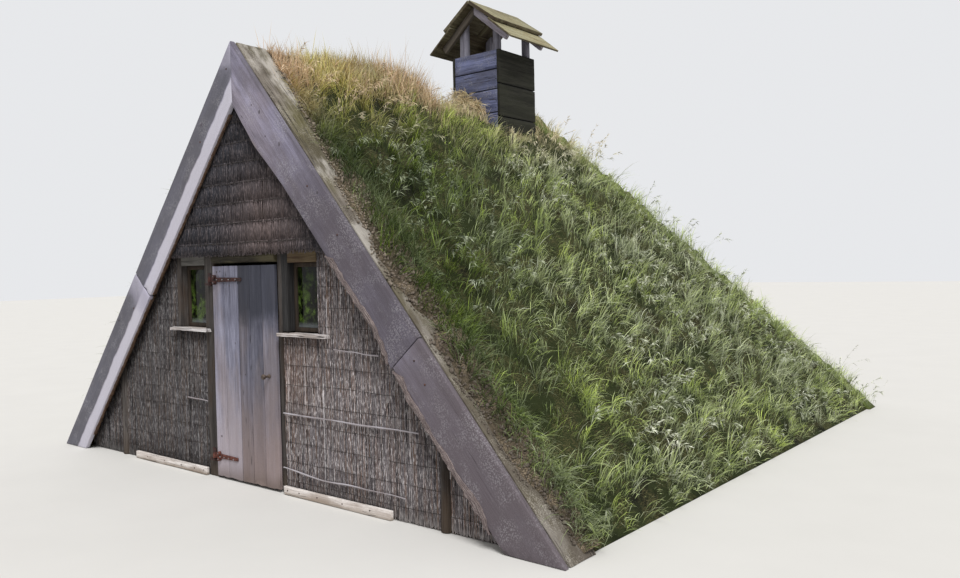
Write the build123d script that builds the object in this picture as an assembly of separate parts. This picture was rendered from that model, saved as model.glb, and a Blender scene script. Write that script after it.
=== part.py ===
"""Turf house: a hipped A-frame roof of sods that stands on the ground, with a boarded front gable
walled in reed, a plank door, two small fixed windows and a planked smoke vent on the ridge.

All sizes are in millimetres. X runs along the front gable, Y runs back into the house, Z is up.
The sizes below measure Y from the front face of the front boards, and the finished house is then
moved so that its origin is on the ground in the middle of its plan.
"""
import os
from math import atan2, ceil, cos, hypot, sin, tan

from build123d import *

os.makedirs("parts", exist_ok=True)

# Outline of the roof: the outer line of each slope runs from the apex down to the ground.
HALF_WIDTH = 3080.0
APEX_Z = 3558.0
REAR_Y = 6550.0
HIP_Y = 3950.0

# Layers of the roof, each a thickness measured square to the slope.
TURF_THICK = 210.0
LINING_THICK = 25.0
RAFTER_DEPTH = 80.0
RAFTER_WIDTH = 70.0
RAFTER_SPACING = 680.0
REAR_RAFTER_SPACING = 800.0
RIDGE_WIDTH = 50.0
RIDGE_DEPTH = 150.0

# The turf and its matted grass, on a lattice of even steps over each slope: how far its face stands
# proud of the outer line, and how much further it does in a tussock, at every other point.
SWELL_STEP = 300.0
SWELLS = (62.0, 18.0, 44.0, 4.0, 30.0, 56.0, 10.0)
TUSSOCK_HEIGHT = 60.0
TURF_EDGE_PROUD = 25.0

# The ridge of the turf is full near the gable and dips before the vent: Y, and how far it stands
# proud of the line. This fades into the tussocks down the slope.
RIDGE_SWELLS = (
    (345.0, 10.0),
    (900.0, 40.0),
    (1700.0, 52.0),
    (2100.0, 5.0),
    (2350.0, -90.0),
    (3000.0, -100.0),
    (3700.0, -50.0),
    (4200.0, 20.0),
)
RIDGE_SWELL_REACH = 650.0

# Boards that face the gable and the boards that cap the slope behind them.
FRONT_BOARD_THICK = 45.0
FRONT_BOARD_WIDTH = 320.0
FRONT_JOINT_GAP = 2.0
LEFT_JOINT_AT = 2409.0
RIGHT_JOINT_AT = 3009.0
CAP_SLIT = 5.0
TOP_BOARD_THICK = 40.0
TOP_BOARD_DEPTH = 295.0
GABLE_RAFTER_DEPTH = 120.0

# Natural edge of the right front boards: distance down the slope from the apex, and width there.
RIGHT_UPPER_EDGE = (
    (385.0, 333.0),
    (824.0, 363.0),
    (1302.0, 323.0),
    (2031.0, 312.0),
    (2714.0, 292.0),
    (2880.0, 322.0),
)
RIGHT_UPPER_END_WIDTH = 345.0
RIGHT_LOWER_START_WIDTH = 329.0
RIGHT_LOWER_EDGE = ((3304.0, 349.0), (3674.0, 344.0))

# Wall under the gable: its front plane, its frame and its reed.
WALL_Y = 115.0
FRAME_DEPTH = 100.0
REED_THICK = 50.0
EAVE_Z = 1890.0
TIE_HEIGHT = 80.0
STUD_WIDTH = 80.0
STUD_DEPTH = 65.0
STUD_OFFSET = 520.0

# Door leaf and its opening.
DOOR_LEFT = -486.0
DOOR_WIDTH = 845.0
DOOR_BOTTOM = 18.0
DOOR_TOP = 1784.0
DOOR_HEAD_GAP = 16.0
DOOR_PROUD = 20.0
PLANK_THICK = 28.0
PLANK_SEAMS_AT = (164.0, 355.0, 513.0, 671.0)
SEAM_GAP = 3.0
DOOR_CLEAR = 8.0
LEDGE_THICK = 25.0
LEDGE_HEIGHT = 120.0
LEDGE_INSET = 60.0
LEDGE_HEIGHTS = (190.0, 930.0, 1640.0)
POST_LEFT_WIDTH = 141.0
POST_RIGHT_WIDTH = 49.0
LINTEL_DEPTH = 110.0
LINTEL_BULGE = 32.0

# Hinges: long straps that turn on pins held by plates on the left post.
PIN_RADIUS = 8.0
PIN_CLEAR = 0.05
PIVOT_INSET = 24.0
PIVOT_Y = 84.0
EYE_RADIUS = 15.0
EYE_HEIGHT = 44.0
STRAP_THICK = 7.0
STRAP_ROOT = 42.0
STRAP_TIP = 28.0
HINGES = ((1670.0, 435.0), (190.0, 325.0))
PIN_RISE = 6.0
PINTLE_GAP = 5.0
PINTLE_HEIGHT = 18.0
PLATE_THICK = 6.0
PLATE_WIDTH = 42.0
PLATE_HEIGHT = 110.0

# Knob of the door: a turned head on a stem.
KNOB_FROM_EDGE = 98.0
KNOB_Z = 908.0
KNOB_STEM_RADIUS = 10.0
KNOB_STEM_LENGTH = 44.0
KNOB_HEAD_RADIUS = 21.0
KNOB_HEAD_LENGTH = 26.0

# Windows beside the door, each placed from the door post next to it.
LEFT_WINDOW_WIDTH = 363.0
RIGHT_WINDOW_WIDTH = 344.0
SIDE_BOARD_WIDTH = 75.0
SILL_TOP = 1262.0
SILL_THICK = 38.0
SILL_PROUD = 62.0
SILL_BED_DEPTH = 100.0
LEFT_SILL_REACH = (132.0, 95.0)
RIGHT_SILL_REACH = (89.0, 155.0)
WINDOW_HEAD_Z = 1792.0
WINDOW_POST_WIDTH = 70.0
WINDOW_FRAME_BAR = 34.0
WINDOW_FRAME_DEPTH = 34.0
WINDOW_RECESS = 60.0
GLASS_THICK = 4.0
SIDE_BOARD_THICK = 32.0

# Foot boards and corner posts of the front wall.
FOOT_HEIGHT = 70.0
FOOT_THICK = 36.0
FOOT_LENGTH = 1180.0
CORNER_POST_X = 2065.0
CORNER_POST_RADIUS = 45.0

# Smoke vent: a box of boards that runs up through the ridge, with a small gabled cap on posts.
FLUE_FRONT_Y = 3040.0
FLUE_LENGTH = 638.0
FLUE_HALF = 322.0
FLUE_WALL = 35.0
FLUE_TOP = 4005.0
CAP_HALF = 570.0
CAP_EAVE_ABOVE = 70.0
CAP_HEIGHT = 465.0
CAP_FRONT_REACH = 100.0
CAP_REAR_REACH = 120.0
CAP_BOARD = 22.0
CAP_SPLIT = 345.0
CAP_LAP = 90.0
CAP_RAFTER_DEPTH = 75.0
CAP_RAFTER_WIDTH = 45.0
CAP_RAFTER_REACH = 610.0
CAP_POST_WIDTH = 72.0
CAP_POST_LEFT_INSET = 48.0
CAP_POST_LEFT_EXTRA = 24.0
CAP_POST_DEPTH = 60.0
CAP_POST_BELOW = 150.0

SLOPE = atan2(APEX_Z, HALF_WIDTH)
REAR_SLOPE = atan2(APEX_Z, REAR_Y - HIP_Y)
SLOPE_LENGTH = hypot(APEX_Z, HALF_WIDTH)
CAP_EAVE_Z = FLUE_TOP + CAP_EAVE_ABOVE
CAP_TOP = CAP_EAVE_Z + CAP_HEIGHT
CAP_SLOPE = atan2(CAP_HEIGHT, CAP_HALF)
LINING_IN = TURF_THICK + LINING_THICK
RAFTER_IN = LINING_IN + RAFTER_DEPTH
GABLE_IN = TOP_BOARD_THICK + GABLE_RAFTER_DEPTH
TOP_BOARD_Y = FRONT_BOARD_THICK + CAP_SLIT
TURF_Y = TOP_BOARD_Y + TOP_BOARD_DEPTH
FRAME_BACK = WALL_Y + FRAME_DEPTH
FLUE_BACK_Y = FLUE_FRONT_Y + FLUE_LENGTH
DOOR_RIGHT = DOOR_LEFT + DOOR_WIDTH
LEAF_Y = WALL_Y - DOOR_PROUD
LEAF_BACK = LEAF_Y + PLANK_THICK
PIVOT_X = DOOR_LEFT - PIVOT_INSET
OPENING_LEFT = DOOR_LEFT - DOOR_CLEAR
OPENING_RIGHT = DOOR_RIGHT + DOOR_CLEAR
LEFT_POST_EDGE = OPENING_LEFT - POST_LEFT_WIDTH
RIGHT_POST_EDGE = OPENING_RIGHT + POST_RIGHT_WIDTH
LEFT_WINDOW = (LEFT_POST_EDGE - LEFT_WINDOW_WIDTH, LEFT_POST_EDGE)
RIGHT_WINDOW = (
    RIGHT_POST_EDGE + SIDE_BOARD_WIDTH,
    RIGHT_POST_EDGE + SIDE_BOARD_WIDTH + RIGHT_WINDOW_WIDTH,
)
MAT_BACK = WALL_Y + REED_THICK


def side_x(inset, z):
    """X of the right slope at a height, a distance inside its outer line."""
    return HALF_WIDTH - inset / sin(SLOPE) - z / tan(SLOPE)


def apex_z(inset):
    """Height of the ridge of a layer, a distance inside the outer line."""
    return APEX_Z - inset / cos(SLOPE)


def rear_y(inset, z):
    """Y of the rear slope at a height, a distance inside its outer line."""
    return REAR_Y - inset / sin(REAR_SLOPE) - z / tan(REAR_SLOPE)


def on_slope(down, inset):
    """Point (x, z) of the right slope: a distance down from the apex, and one inside the outer line."""
    return (
        down * cos(SLOPE) - inset * sin(SLOPE),
        APEX_Z - down * sin(SLOPE) - inset * cos(SLOPE),
    )


def box(x0, x1, y0, y1, z0, z1):
    """A box between two corners."""
    return Pos((x0 + x1) / 2, (y0 + y1) / 2, (z0 + z1) / 2) * Box(x1 - x0, y1 - y0, z1 - z0)


def along_y(points, y0, y1, side=1):
    """Solid with an outline in X and Z, from one Y to another. A side of -1 mirrors the outline."""
    outline = [(side * x, y0, z) for x, z in points]
    return extrude(make_face(Polyline(*outline, close=True)), amount=y1 - y0, dir=(0, 1, 0))


def along_x(points, x0, x1):
    """Solid with an outline in Y and Z, from one X to another."""
    outline = [(x0, y, z) for y, z in points]
    return extrude(make_face(Polyline(*outline, close=True)), amount=x1 - x0, dir=(1, 0, 0))


def band(outer, inner, inside=0.0):
    """Outline of a layer of the right slope, from the ground up to a distance from the middle."""
    drop = inside * tan(SLOPE)
    return [
        (side_x(outer, 0), 0),
        (inside, apex_z(outer) - drop),
        (inside, apex_z(inner) - drop),
        (side_x(inner, 0), 0),
    ]


def before_rear(inset):
    """Everything in front of the rear slope, taken a distance inside its outer line."""
    outline = [(0, 0), (rear_y(inset, 0), 0), (rear_y(inset, CAP_TOP), CAP_TOP), (0, CAP_TOP)]
    return along_x(outline, -HALF_WIDTH, HALF_WIDTH)


def under_slopes(inset):
    """Everything between the two side slopes, taken a distance inside their outer lines."""
    outline = [(-side_x(inset, 0), 0), (0, apex_z(inset)), (side_x(inset, 0), 0)]
    return along_y(outline, 0, REAR_Y)


def rear_slab(outer, inner, side_inset, x0=-HALF_WIDTH, x1=HALF_WIDTH):
    """A layer of the rear slope between two X values, cut off by the side slopes."""
    outline = [
        (rear_y(outer, 0), 0),
        (rear_y(outer, APEX_Z), APEX_Z),
        (rear_y(inner, APEX_Z), APEX_Z),
        (rear_y(inner, 0), 0),
    ]
    return along_x(outline, x0, x1) & under_slopes(side_inset)


def swell(row, column, phase):
    """How far the face of the turf stands proud of the outer line at one point of the lattice."""
    height = SWELLS[(3 * row + 5 * column + row * column + phase) % len(SWELLS)]
    return height + TUSSOCK_HEIGHT * ((row + column) % 2)


def value_at(table, place):
    """Value at a place in a table of (place, value), on a straight line between its entries."""
    if place <= table[0][0]:
        return table[0][1]
    for (start, first), (end, last) in zip(table, table[1:]):
        if place <= end:
            return first + (last - first) * (place - start) / (end - start)
    return table[-1][1]


def flat_face(points):
    """A flat face with straight sides between points."""
    return Face(Wire.make_polygon(points, close=True))


def sods(rows, under_start, under_end):
    """Solid between a lattice of points and the flat face under it.

    Each row runs across the slope, from the top row to the foot. The flat face has its top and its
    foot corner under the start of the rows, and the same two under their end."""
    faces = []
    for number, (upper, lower) in enumerate(zip(rows, rows[1:])):
        for column in range(len(upper) - 1):
            a, b = upper[column], upper[column + 1]
            c, d = lower[column], lower[column + 1]
            if (number + column) % 2:
                faces += [flat_face([a, b, d]), flat_face([a, d, c])]
            else:
                faces += [flat_face([a, b, c]), flat_face([b, d, c])]
    top_start, foot_start = under_start
    top_end, foot_end = under_end
    faces.append(flat_face([top_start, top_end, foot_end, foot_start]))
    faces.append(flat_face(rows[0] + [top_end, top_start]))
    faces.append(flat_face(rows[-1] + [foot_end, foot_start]))
    faces.append(flat_face([row[0] for row in rows] + [foot_start, top_start]))
    faces.append(flat_face([row[-1] for row in rows] + [foot_end, top_end]))
    return Solid(Shell(faces))


def side_sods(side, phase):
    """Turf of one side slope with its swells, from the top boards back past the rear slope."""
    row_count = ceil(SLOPE_LENGTH / SWELL_STEP)
    column_count = ceil((REAR_Y - TURF_Y) / SWELL_STEP)
    rows = []
    for row in range(row_count + 1):
        down = SLOPE_LENGTH * row / row_count
        near_ridge = max(0.0, 1 - down / RIDGE_SWELL_REACH)
        points = []
        for column in range(column_count + 1):
            y = TURF_Y + (REAR_Y - TURF_Y) * column / column_count
            proud = near_ridge * value_at(RIDGE_SWELLS, y)
            proud += (1 - near_ridge) * (swell(row, column, phase) if column else TURF_EDGE_PROUD)
            if row == row_count:
                x, z = HALF_WIDTH, 0
            elif row:
                x, z = on_slope(down, -proud)
            else:
                x, z = 0, apex_z(-proud)
            points.append((side * x, y, z))
        rows.append(points)
    top, foot = (0, apex_z(TURF_THICK)), (side * side_x(TURF_THICK, 0), 0)
    return sods(
        rows,
        [(top[0], TURF_Y, top[1]), (foot[0], TURF_Y, foot[1])],
        [(top[0], REAR_Y, top[1]), (foot[0], REAR_Y, foot[1])])


def rear_sods():
    """Turf of the rear slope with its swells, cut off by the side slopes."""
    row_count = ceil(hypot(APEX_Z, REAR_Y - HIP_Y) / SWELL_STEP)
    column_count = ceil(2 * HALF_WIDTH / SWELL_STEP)
    rows = []
    for row in range(row_count + 1):
        z = APEX_Z * (1 - row / row_count)
        points = []
        for column in range(column_count + 1):
            x = HALF_WIDTH * (2 * column / column_count - 1)
            proud = swell(row, column, 2) if row < row_count else 0.0
            points.append((x, rear_y(-proud, z), z))
        rows.append(points)
    top, foot = (rear_y(TURF_THICK, APEX_Z), APEX_Z), (rear_y(TURF_THICK, 0), 0)
    slab = sods(
        rows,
        [(-HALF_WIDTH, *top), (-HALF_WIDTH, *foot)],
        [(HALF_WIDTH, *top), (HALF_WIDTH, *foot)])
    return slab & under_slopes(0)


def shaft(margin=0.0):
    """The hole that the smoke vent needs through the roof."""
    half = FLUE_HALF + margin
    return box(-half, half, FLUE_FRONT_Y - margin, FLUE_BACK_Y + margin, 0, CAP_TOP)


def front_board(side, start, end, edge, start_width, end_width):
    """One length of front board, from one distance down the slope to another.

    The first length starts at the apex with a plumb cut, and the last ends on the ground."""
    outer_start = on_slope(start, 0)
    inner_start = on_slope(start, start_width)
    if start == 0:
        outer_start = (FRONT_JOINT_GAP, APEX_Z - FRONT_JOINT_GAP * tan(SLOPE))
        inner_start = (FRONT_JOINT_GAP, apex_z(start_width) - FRONT_JOINT_GAP * tan(SLOPE))
    outer_end = on_slope(end, 0)
    inner_end = on_slope(end, end_width)
    if end == SLOPE_LENGTH:
        outer_end = (HALF_WIDTH, 0)
        inner_end = (side_x(end_width, 0), 0)
    waves = [on_slope(down, width) for down, width in edge]
    outline = [outer_start, outer_end, inner_end] + waves[::-1] + [inner_start]
    return along_y(outline, 0, FRONT_BOARD_THICK, side)


def make_front_boards():
    """Two lengths of board on each side of the gable, butted square to the slope."""
    right_start = RIGHT_UPPER_EDGE[0][1]
    right_end = RIGHT_LOWER_EDGE[-1][1]
    width = FRONT_BOARD_WIDTH
    return {
        "front_board_left_upper": front_board(-1, 0, LEFT_JOINT_AT, (), width, width),
        "front_board_left_lower": front_board(
            -1, LEFT_JOINT_AT + FRONT_JOINT_GAP, SLOPE_LENGTH, (), width, width),
        "front_board_right_upper": front_board(
            1, 0, RIGHT_JOINT_AT, RIGHT_UPPER_EDGE[1:], right_start, RIGHT_UPPER_END_WIDTH),
        "front_board_right_lower": front_board(
            1, RIGHT_JOINT_AT + FRONT_JOINT_GAP, SLOPE_LENGTH, RIGHT_LOWER_EDGE,
            RIGHT_LOWER_START_WIDTH, right_end),
    }


def make_gable_edge():
    """Boards on the slope behind the front boards, and the rafters that carry both."""
    pieces = {}
    for name, side in (("left", -1), ("right", 1)):
        pieces["top_board_" + name] = along_y(band(0, TOP_BOARD_THICK), TOP_BOARD_Y, TURF_Y, side)
        pieces["gable_rafter_" + name] = along_y(
            band(TOP_BOARD_THICK, GABLE_IN), FRONT_BOARD_THICK, WALL_Y, side)
    return pieces


def make_roof():
    """Turf, boards and rafters of the three slopes, open where the smoke vent passes."""
    pieces = {}
    for name, side, phase in (("left", -1, 3), ("right", 1, 0)):
        edge = along_y(band(TOP_BOARD_THICK, TURF_THICK), WALL_Y, TURF_Y, side)
        slope = side_sods(side, phase) & before_rear(TURF_THICK)
        pieces["turf_" + name] = (edge + slope) - shaft()
        lining = along_y(band(TURF_THICK, LINING_IN), WALL_Y, REAR_Y, side) & before_rear(LINING_IN)
        pieces["lining_" + name] = lining - shaft()
    pieces["turf_rear"] = rear_sods()
    pieces["lining_rear"] = rear_slab(TURF_THICK, LINING_IN, TURF_THICK)
    return pieces


def rafter_places():
    """Front faces of the rafter pairs: at even steps, with a pair close to each side of the vent."""
    first = FRAME_BACK
    last = FLUE_FRONT_Y - RAFTER_WIDTH
    steps = ceil((last - first) / RAFTER_SPACING)
    places = [first + (last - first) * step / steps for step in range(steps + 1)]
    behind = FLUE_BACK_Y
    while behind < rear_y(RAFTER_IN, 0) - RAFTER_SPACING:
        places.append(behind)
        behind += RAFTER_SPACING
    return places


def make_rafters():
    """Rafter pairs against a ridge board, and the rafters of the rear slope."""
    ridge_back = rear_y(LINING_IN, apex_z(LINING_IN))
    section = [
        (-RIDGE_WIDTH / 2, apex_z(LINING_IN) - RIDGE_DEPTH),
        (-RIDGE_WIDTH / 2, apex_z(LINING_IN) - RIDGE_WIDTH / 2 * tan(SLOPE)),
        (0, apex_z(LINING_IN)),
        (RIDGE_WIDTH / 2, apex_z(LINING_IN) - RIDGE_WIDTH / 2 * tan(SLOPE)),
        (RIDGE_WIDTH / 2, apex_z(LINING_IN) - RIDGE_DEPTH),
    ]
    front_length = along_y(section, WALL_Y + STUD_DEPTH, FLUE_FRONT_Y)
    rear_length = along_y(section, FLUE_BACK_Y, ridge_back) & before_rear(RAFTER_IN)
    pairs = []
    for place in rafter_places():
        for side in (-1, 1):
            outline = band(LINING_IN, RAFTER_IN, RIDGE_WIDTH / 2)
            rafter = along_y(outline, place, place + RAFTER_WIDTH, side) & before_rear(RAFTER_IN)
            pairs.append(rafter.solid())
    rear = []
    count = int(side_x(RAFTER_IN, 0) / REAR_RAFTER_SPACING)
    for step in range(-count, count + 1):
        middle = step * REAR_RAFTER_SPACING
        x0 = middle - RAFTER_WIDTH / 2
        rear.append(rear_slab(LINING_IN, RAFTER_IN, LINING_IN, x0, x0 + RAFTER_WIDTH).solid())
    return {
        "ridge_board": Compound([front_length.solid(), rear_length.solid()]),
        "rafters": Compound(pairs),
        "rear_rafters": Compound(rear),
    }


def make_gable():
    """Reed of the upper gable, with the tie beam and studs behind it."""
    half = side_x(GABLE_IN, EAVE_Z)
    triangle = [(-half, EAVE_Z), (0, apex_z(GABLE_IN)), (half, EAVE_Z)]
    reed = along_y(triangle, FRONT_BOARD_THICK, WALL_Y)
    tie_top = EAVE_Z + TIE_HEIGHT
    tie = along_y(
        [
            (-side_x(LINING_IN, EAVE_Z), EAVE_Z),
            (-side_x(LINING_IN, tie_top), tie_top),
            (side_x(LINING_IN, tie_top), tie_top),
            (side_x(LINING_IN, EAVE_Z), EAVE_Z),
        ],
        WALL_Y,
        FRAME_BACK,
    )
    roof_void = under_slopes(LINING_IN)
    studs = []
    for middle in (-STUD_OFFSET, 0, STUD_OFFSET):
        x0 = middle - STUD_WIDTH / 2
        x1 = middle + STUD_WIDTH / 2
        stud = box(x0, x1, WALL_Y, WALL_Y + STUD_DEPTH, tie_top, APEX_Z)
        studs.append((stud & roof_void).solid())
    return {"upper_reed": reed, "tie_beam": tie, "gable_studs": Compound(studs)}


def make_wall_frame():
    """Posts and heads that frame the door and the windows, and the round corner posts."""
    lintel_z = DOOR_TOP + DOOR_HEAD_GAP
    log_radius = (EAVE_Z - lintel_z) / 2
    log_y = WALL_Y - LINTEL_BULGE + log_radius
    middle = (OPENING_LEFT + OPENING_RIGHT) / 2
    lintel = box(OPENING_LEFT, OPENING_RIGHT, log_y, WALL_Y + LINTEL_DEPTH, lintel_z, EAVE_Z)
    log = Rot(0, 90, 0) * Cylinder(log_radius, OPENING_RIGHT - OPENING_LEFT)
    lintel += Pos(middle, log_y, lintel_z + log_radius) * log
    heads = []
    for x0, x1 in (LEFT_WINDOW, RIGHT_WINDOW):
        heads.append(box(x0, x1, WALL_Y, FRAME_BACK, WINDOW_HEAD_Z, EAVE_Z).solid())
    left_edge = LEFT_WINDOW[0] - WINDOW_POST_WIDTH
    right_edge = RIGHT_WINDOW[1] + WINDOW_POST_WIDTH
    left_post = box(left_edge, LEFT_WINDOW[0], MAT_BACK, FRAME_BACK, 0, EAVE_Z)
    left_post += box(left_edge, LEFT_WINDOW[0], WALL_Y, MAT_BACK, SILL_TOP, EAVE_Z)
    right_post = box(RIGHT_WINDOW[1], right_edge, MAT_BACK, FRAME_BACK, 0, EAVE_Z)
    side_board = box(
        RIGHT_POST_EDGE, RIGHT_WINDOW[0], WALL_Y, WALL_Y + SIDE_BOARD_THICK, SILL_TOP, EAVE_Z)
    side_board += box(
        RIGHT_WINDOW[0] - SIDE_BOARD_THICK, RIGHT_WINDOW[0], WALL_Y, FRAME_BACK, SILL_TOP, EAVE_Z)
    posts = []
    post_y = WALL_Y + REED_THICK / 2
    for side in (-1, 1):
        post = Pos(side * CORNER_POST_X, post_y, APEX_Z / 2) * Cylinder(CORNER_POST_RADIUS, APEX_Z)
        posts.append((post & under_slopes(LINING_IN)).solid())
    return {
        "door_post_left": box(LEFT_POST_EDGE, OPENING_LEFT, WALL_Y, FRAME_BACK, 0, EAVE_Z),
        "door_post_right": box(OPENING_RIGHT, RIGHT_POST_EDGE, WALL_Y, FRAME_BACK, 0, EAVE_Z),
        "door_lintel": lintel,
        "window_heads": Compound(heads),
        "window_posts": Compound([left_post.solid(), right_post.solid()]),
        "window_side_board": side_board,
        "corner_posts": Compound(posts),
    }


def make_reed_walls():
    """Reed mats: outer walls beside the windows, and the stretches below the sills."""
    sill_bottom = SILL_TOP - SILL_THICK
    post_edges = (CORNER_POST_X - CORNER_POST_RADIUS, CORNER_POST_X + CORNER_POST_RADIUS)
    pieces = {}
    inner_edges = {"left": WINDOW_POST_WIDTH - LEFT_WINDOW[0], "right": RIGHT_WINDOW[1]}
    for name, side in (("left", -1), ("right", 1)):
        near = inner_edges[name]
        wall = along_y(
            [
                (near, 0),
                (near, EAVE_Z),
                (side_x(LINING_IN, EAVE_Z), EAVE_Z),
                (side_x(LINING_IN, 0), 0),
            ],
            WALL_Y,
            MAT_BACK,
            side,
        )
        gap = sorted((side * post_edges[0], side * post_edges[1]))
        wall -= box(gap[0], gap[1], WALL_Y, MAT_BACK, 0, EAVE_Z)
        pieces["reed_wall_" + name] = wall
    under_left = box(-inner_edges["left"], LEFT_POST_EDGE, WALL_Y, MAT_BACK, 0, sill_bottom)
    under_right = box(RIGHT_POST_EDGE, inner_edges["right"], WALL_Y, MAT_BACK, 0, sill_bottom)
    pieces["reed_under_windows"] = Compound([under_left.solid(), under_right.solid()])
    return pieces


def make_windows():
    """Fixed frames with one pane each, set back in the wall on the sill boards."""
    frame_y = WALL_Y + WINDOW_RECESS
    frames = []
    panes = []
    frame_back = frame_y + WINDOW_FRAME_DEPTH
    pane_y = frame_y + (WINDOW_FRAME_DEPTH - GLASS_THICK) / 2
    low = SILL_TOP + WINDOW_FRAME_BAR
    high = WINDOW_HEAD_Z - WINDOW_FRAME_BAR
    for x0, x1 in (LEFT_WINDOW, RIGHT_WINDOW):
        left = x0 + WINDOW_FRAME_BAR
        right = x1 - WINDOW_FRAME_BAR
        ring = box(x0, x1, frame_y, frame_back, SILL_TOP, WINDOW_HEAD_Z)
        ring -= box(left, right, frame_y, frame_back, low, high)
        frames.append(ring.solid())
        panes.append(box(left, right, pane_y, pane_y + GLASS_THICK, low, high).solid())
    return {"window_frames": Compound(frames), "window_glass": Compound(panes)}


def make_sills():
    """Thick sill boards that stand proud of the wall under each window."""
    sills = []
    z0 = SILL_TOP - SILL_THICK
    beds = (
        (LEFT_WINDOW[0] - WINDOW_POST_WIDTH, LEFT_POST_EDGE),
        (RIGHT_POST_EDGE, RIGHT_WINDOW[1]),
    )
    reaches = (LEFT_SILL_REACH, RIGHT_SILL_REACH)
    for reach, window, bed in zip(reaches, (LEFT_WINDOW, RIGHT_WINDOW), beds):
        sill = box(window[0] - reach[0], window[1] + reach[1], WALL_Y - SILL_PROUD, WALL_Y, z0, SILL_TOP)
        sill += box(bed[0], bed[1], WALL_Y, WALL_Y + REED_THICK, z0, SILL_TOP)
        sill += box(window[0], window[1], WALL_Y, WALL_Y + SILL_BED_DEPTH, z0, SILL_TOP)
        sills.append(sill.solid())
    return {"sill_boards": Compound(sills)}


def make_foot_boards():
    """Low boards along the foot of the reed on both sides of the door."""
    boards = []
    for x0, x1 in (
        (LEFT_POST_EDGE - FOOT_LENGTH, LEFT_POST_EDGE),
        (RIGHT_POST_EDGE, RIGHT_POST_EDGE + FOOT_LENGTH),
    ):
        boards.append(box(x0, x1, WALL_Y - FOOT_THICK, WALL_Y, 0, FOOT_HEIGHT).solid())
    return {"foot_boards": Compound(boards)}


def make_flue():
    """Four board walls of the smoke vent, from the lining up past the ridge."""
    bottom = apex_z(LINING_IN) - FLUE_HALF * tan(SLOPE)
    inner = FLUE_HALF - FLUE_WALL
    front = box(-inner, inner, FLUE_FRONT_Y, FLUE_FRONT_Y + FLUE_WALL, bottom, FLUE_TOP)
    back = box(-inner, inner, FLUE_BACK_Y - FLUE_WALL, FLUE_BACK_Y, bottom, FLUE_TOP)
    left = box(-FLUE_HALF, -inner, FLUE_FRONT_Y, FLUE_BACK_Y, bottom, FLUE_TOP)
    right = box(inner, FLUE_HALF, FLUE_FRONT_Y, FLUE_BACK_Y, bottom, FLUE_TOP)
    return {"flue_front": front, "flue_back": back, "flue_left": left, "flue_right": right}


def on_cap(down, inset):
    """Point (x, z) of the cap's right slope, down from its ridge and in from its top line."""
    return (
        down * cos(CAP_SLOPE) - inset * sin(CAP_SLOPE),
        CAP_TOP - down * sin(CAP_SLOPE) - inset * cos(CAP_SLOPE),
    )


def mirrored(point):
    """The same point on the left side."""
    return (-point[0], point[1])


def make_cap():
    """Gabled cap: posts in the vent's corners, a rafter pair at each end and two lapped courses."""
    length = hypot(CAP_HEIGHT, CAP_HALF)
    cap_front = FLUE_FRONT_Y - CAP_FRONT_REACH
    cap_back = FLUE_BACK_Y + CAP_REAR_REACH
    rise = CAP_BOARD * CAP_LAP / (CAP_SPLIT - CAP_BOARD * tan(CAP_SLOPE))
    upper_end = CAP_SPLIT + CAP_LAP
    upper = [
        (0, CAP_TOP),
        on_cap(upper_end, -rise - CAP_BOARD),
        on_cap(upper_end, -rise),
        (0, CAP_TOP - CAP_BOARD / cos(CAP_SLOPE)),
    ]
    lower = [
        on_cap(CAP_SPLIT, 0),
        on_cap(length, 0),
        on_cap(length, CAP_BOARD),
        on_cap(CAP_SPLIT, CAP_BOARD),
    ]
    rafter = [
        (0, CAP_TOP - CAP_BOARD / cos(CAP_SLOPE)),
        on_cap(CAP_RAFTER_REACH, CAP_BOARD),
        on_cap(CAP_RAFTER_REACH, CAP_BOARD + CAP_RAFTER_DEPTH),
        (0, CAP_TOP - (CAP_BOARD + CAP_RAFTER_DEPTH) / cos(CAP_SLOPE)),
    ]
    post_faces = (FLUE_FRONT_Y + FLUE_WALL, FLUE_BACK_Y - FLUE_WALL - CAP_POST_DEPTH)
    rafter_faces = (post_faces[0] - CAP_RAFTER_WIDTH, post_faces[1] + CAP_POST_DEPTH)
    under_boards = along_y(
        [
            (-CAP_HALF, 0),
            mirrored(on_cap(length, CAP_BOARD)),
            (0, CAP_TOP - CAP_BOARD / cos(CAP_SLOPE)),
            on_cap(length, CAP_BOARD),
            (CAP_HALF, 0),
        ],
        0,
        REAR_Y,
    )
    post_out = FLUE_HALF - FLUE_WALL
    posts = []
    for face in post_faces:
        for side in (-1, 1):
            outer = post_out
            inner = post_out - CAP_POST_WIDTH
            if side < 0 and face == post_faces[0]:
                outer -= CAP_POST_LEFT_INSET
                inner -= CAP_POST_LEFT_INSET + CAP_POST_LEFT_EXTRA
            edges = sorted((side * outer, side * inner))
            low = FLUE_TOP - CAP_POST_BELOW
            post = box(edges[0], edges[1], face, face + CAP_POST_DEPTH, low, CAP_TOP)
            posts.append((post & under_boards).solid())
    pairs = []
    for face in rafter_faces:
        pair = along_y(rafter, face, face + CAP_RAFTER_WIDTH)
        pair += along_y(rafter, face, face + CAP_RAFTER_WIDTH, -1)
        pairs.append(pair.solid())
    lowers = [along_y(lower, cap_front, cap_back, side).solid() for side in (-1, 1)]
    return {
        "cap_posts": Compound(posts),
        "cap_rafters": Compound(pairs),
        "cap_boards_lower": Compound(lowers),
        "cap_board_upper_left": along_y(upper, cap_front, cap_back, -1),
        "cap_board_upper_right": along_y(upper, cap_front, cap_back),
    }


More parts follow.
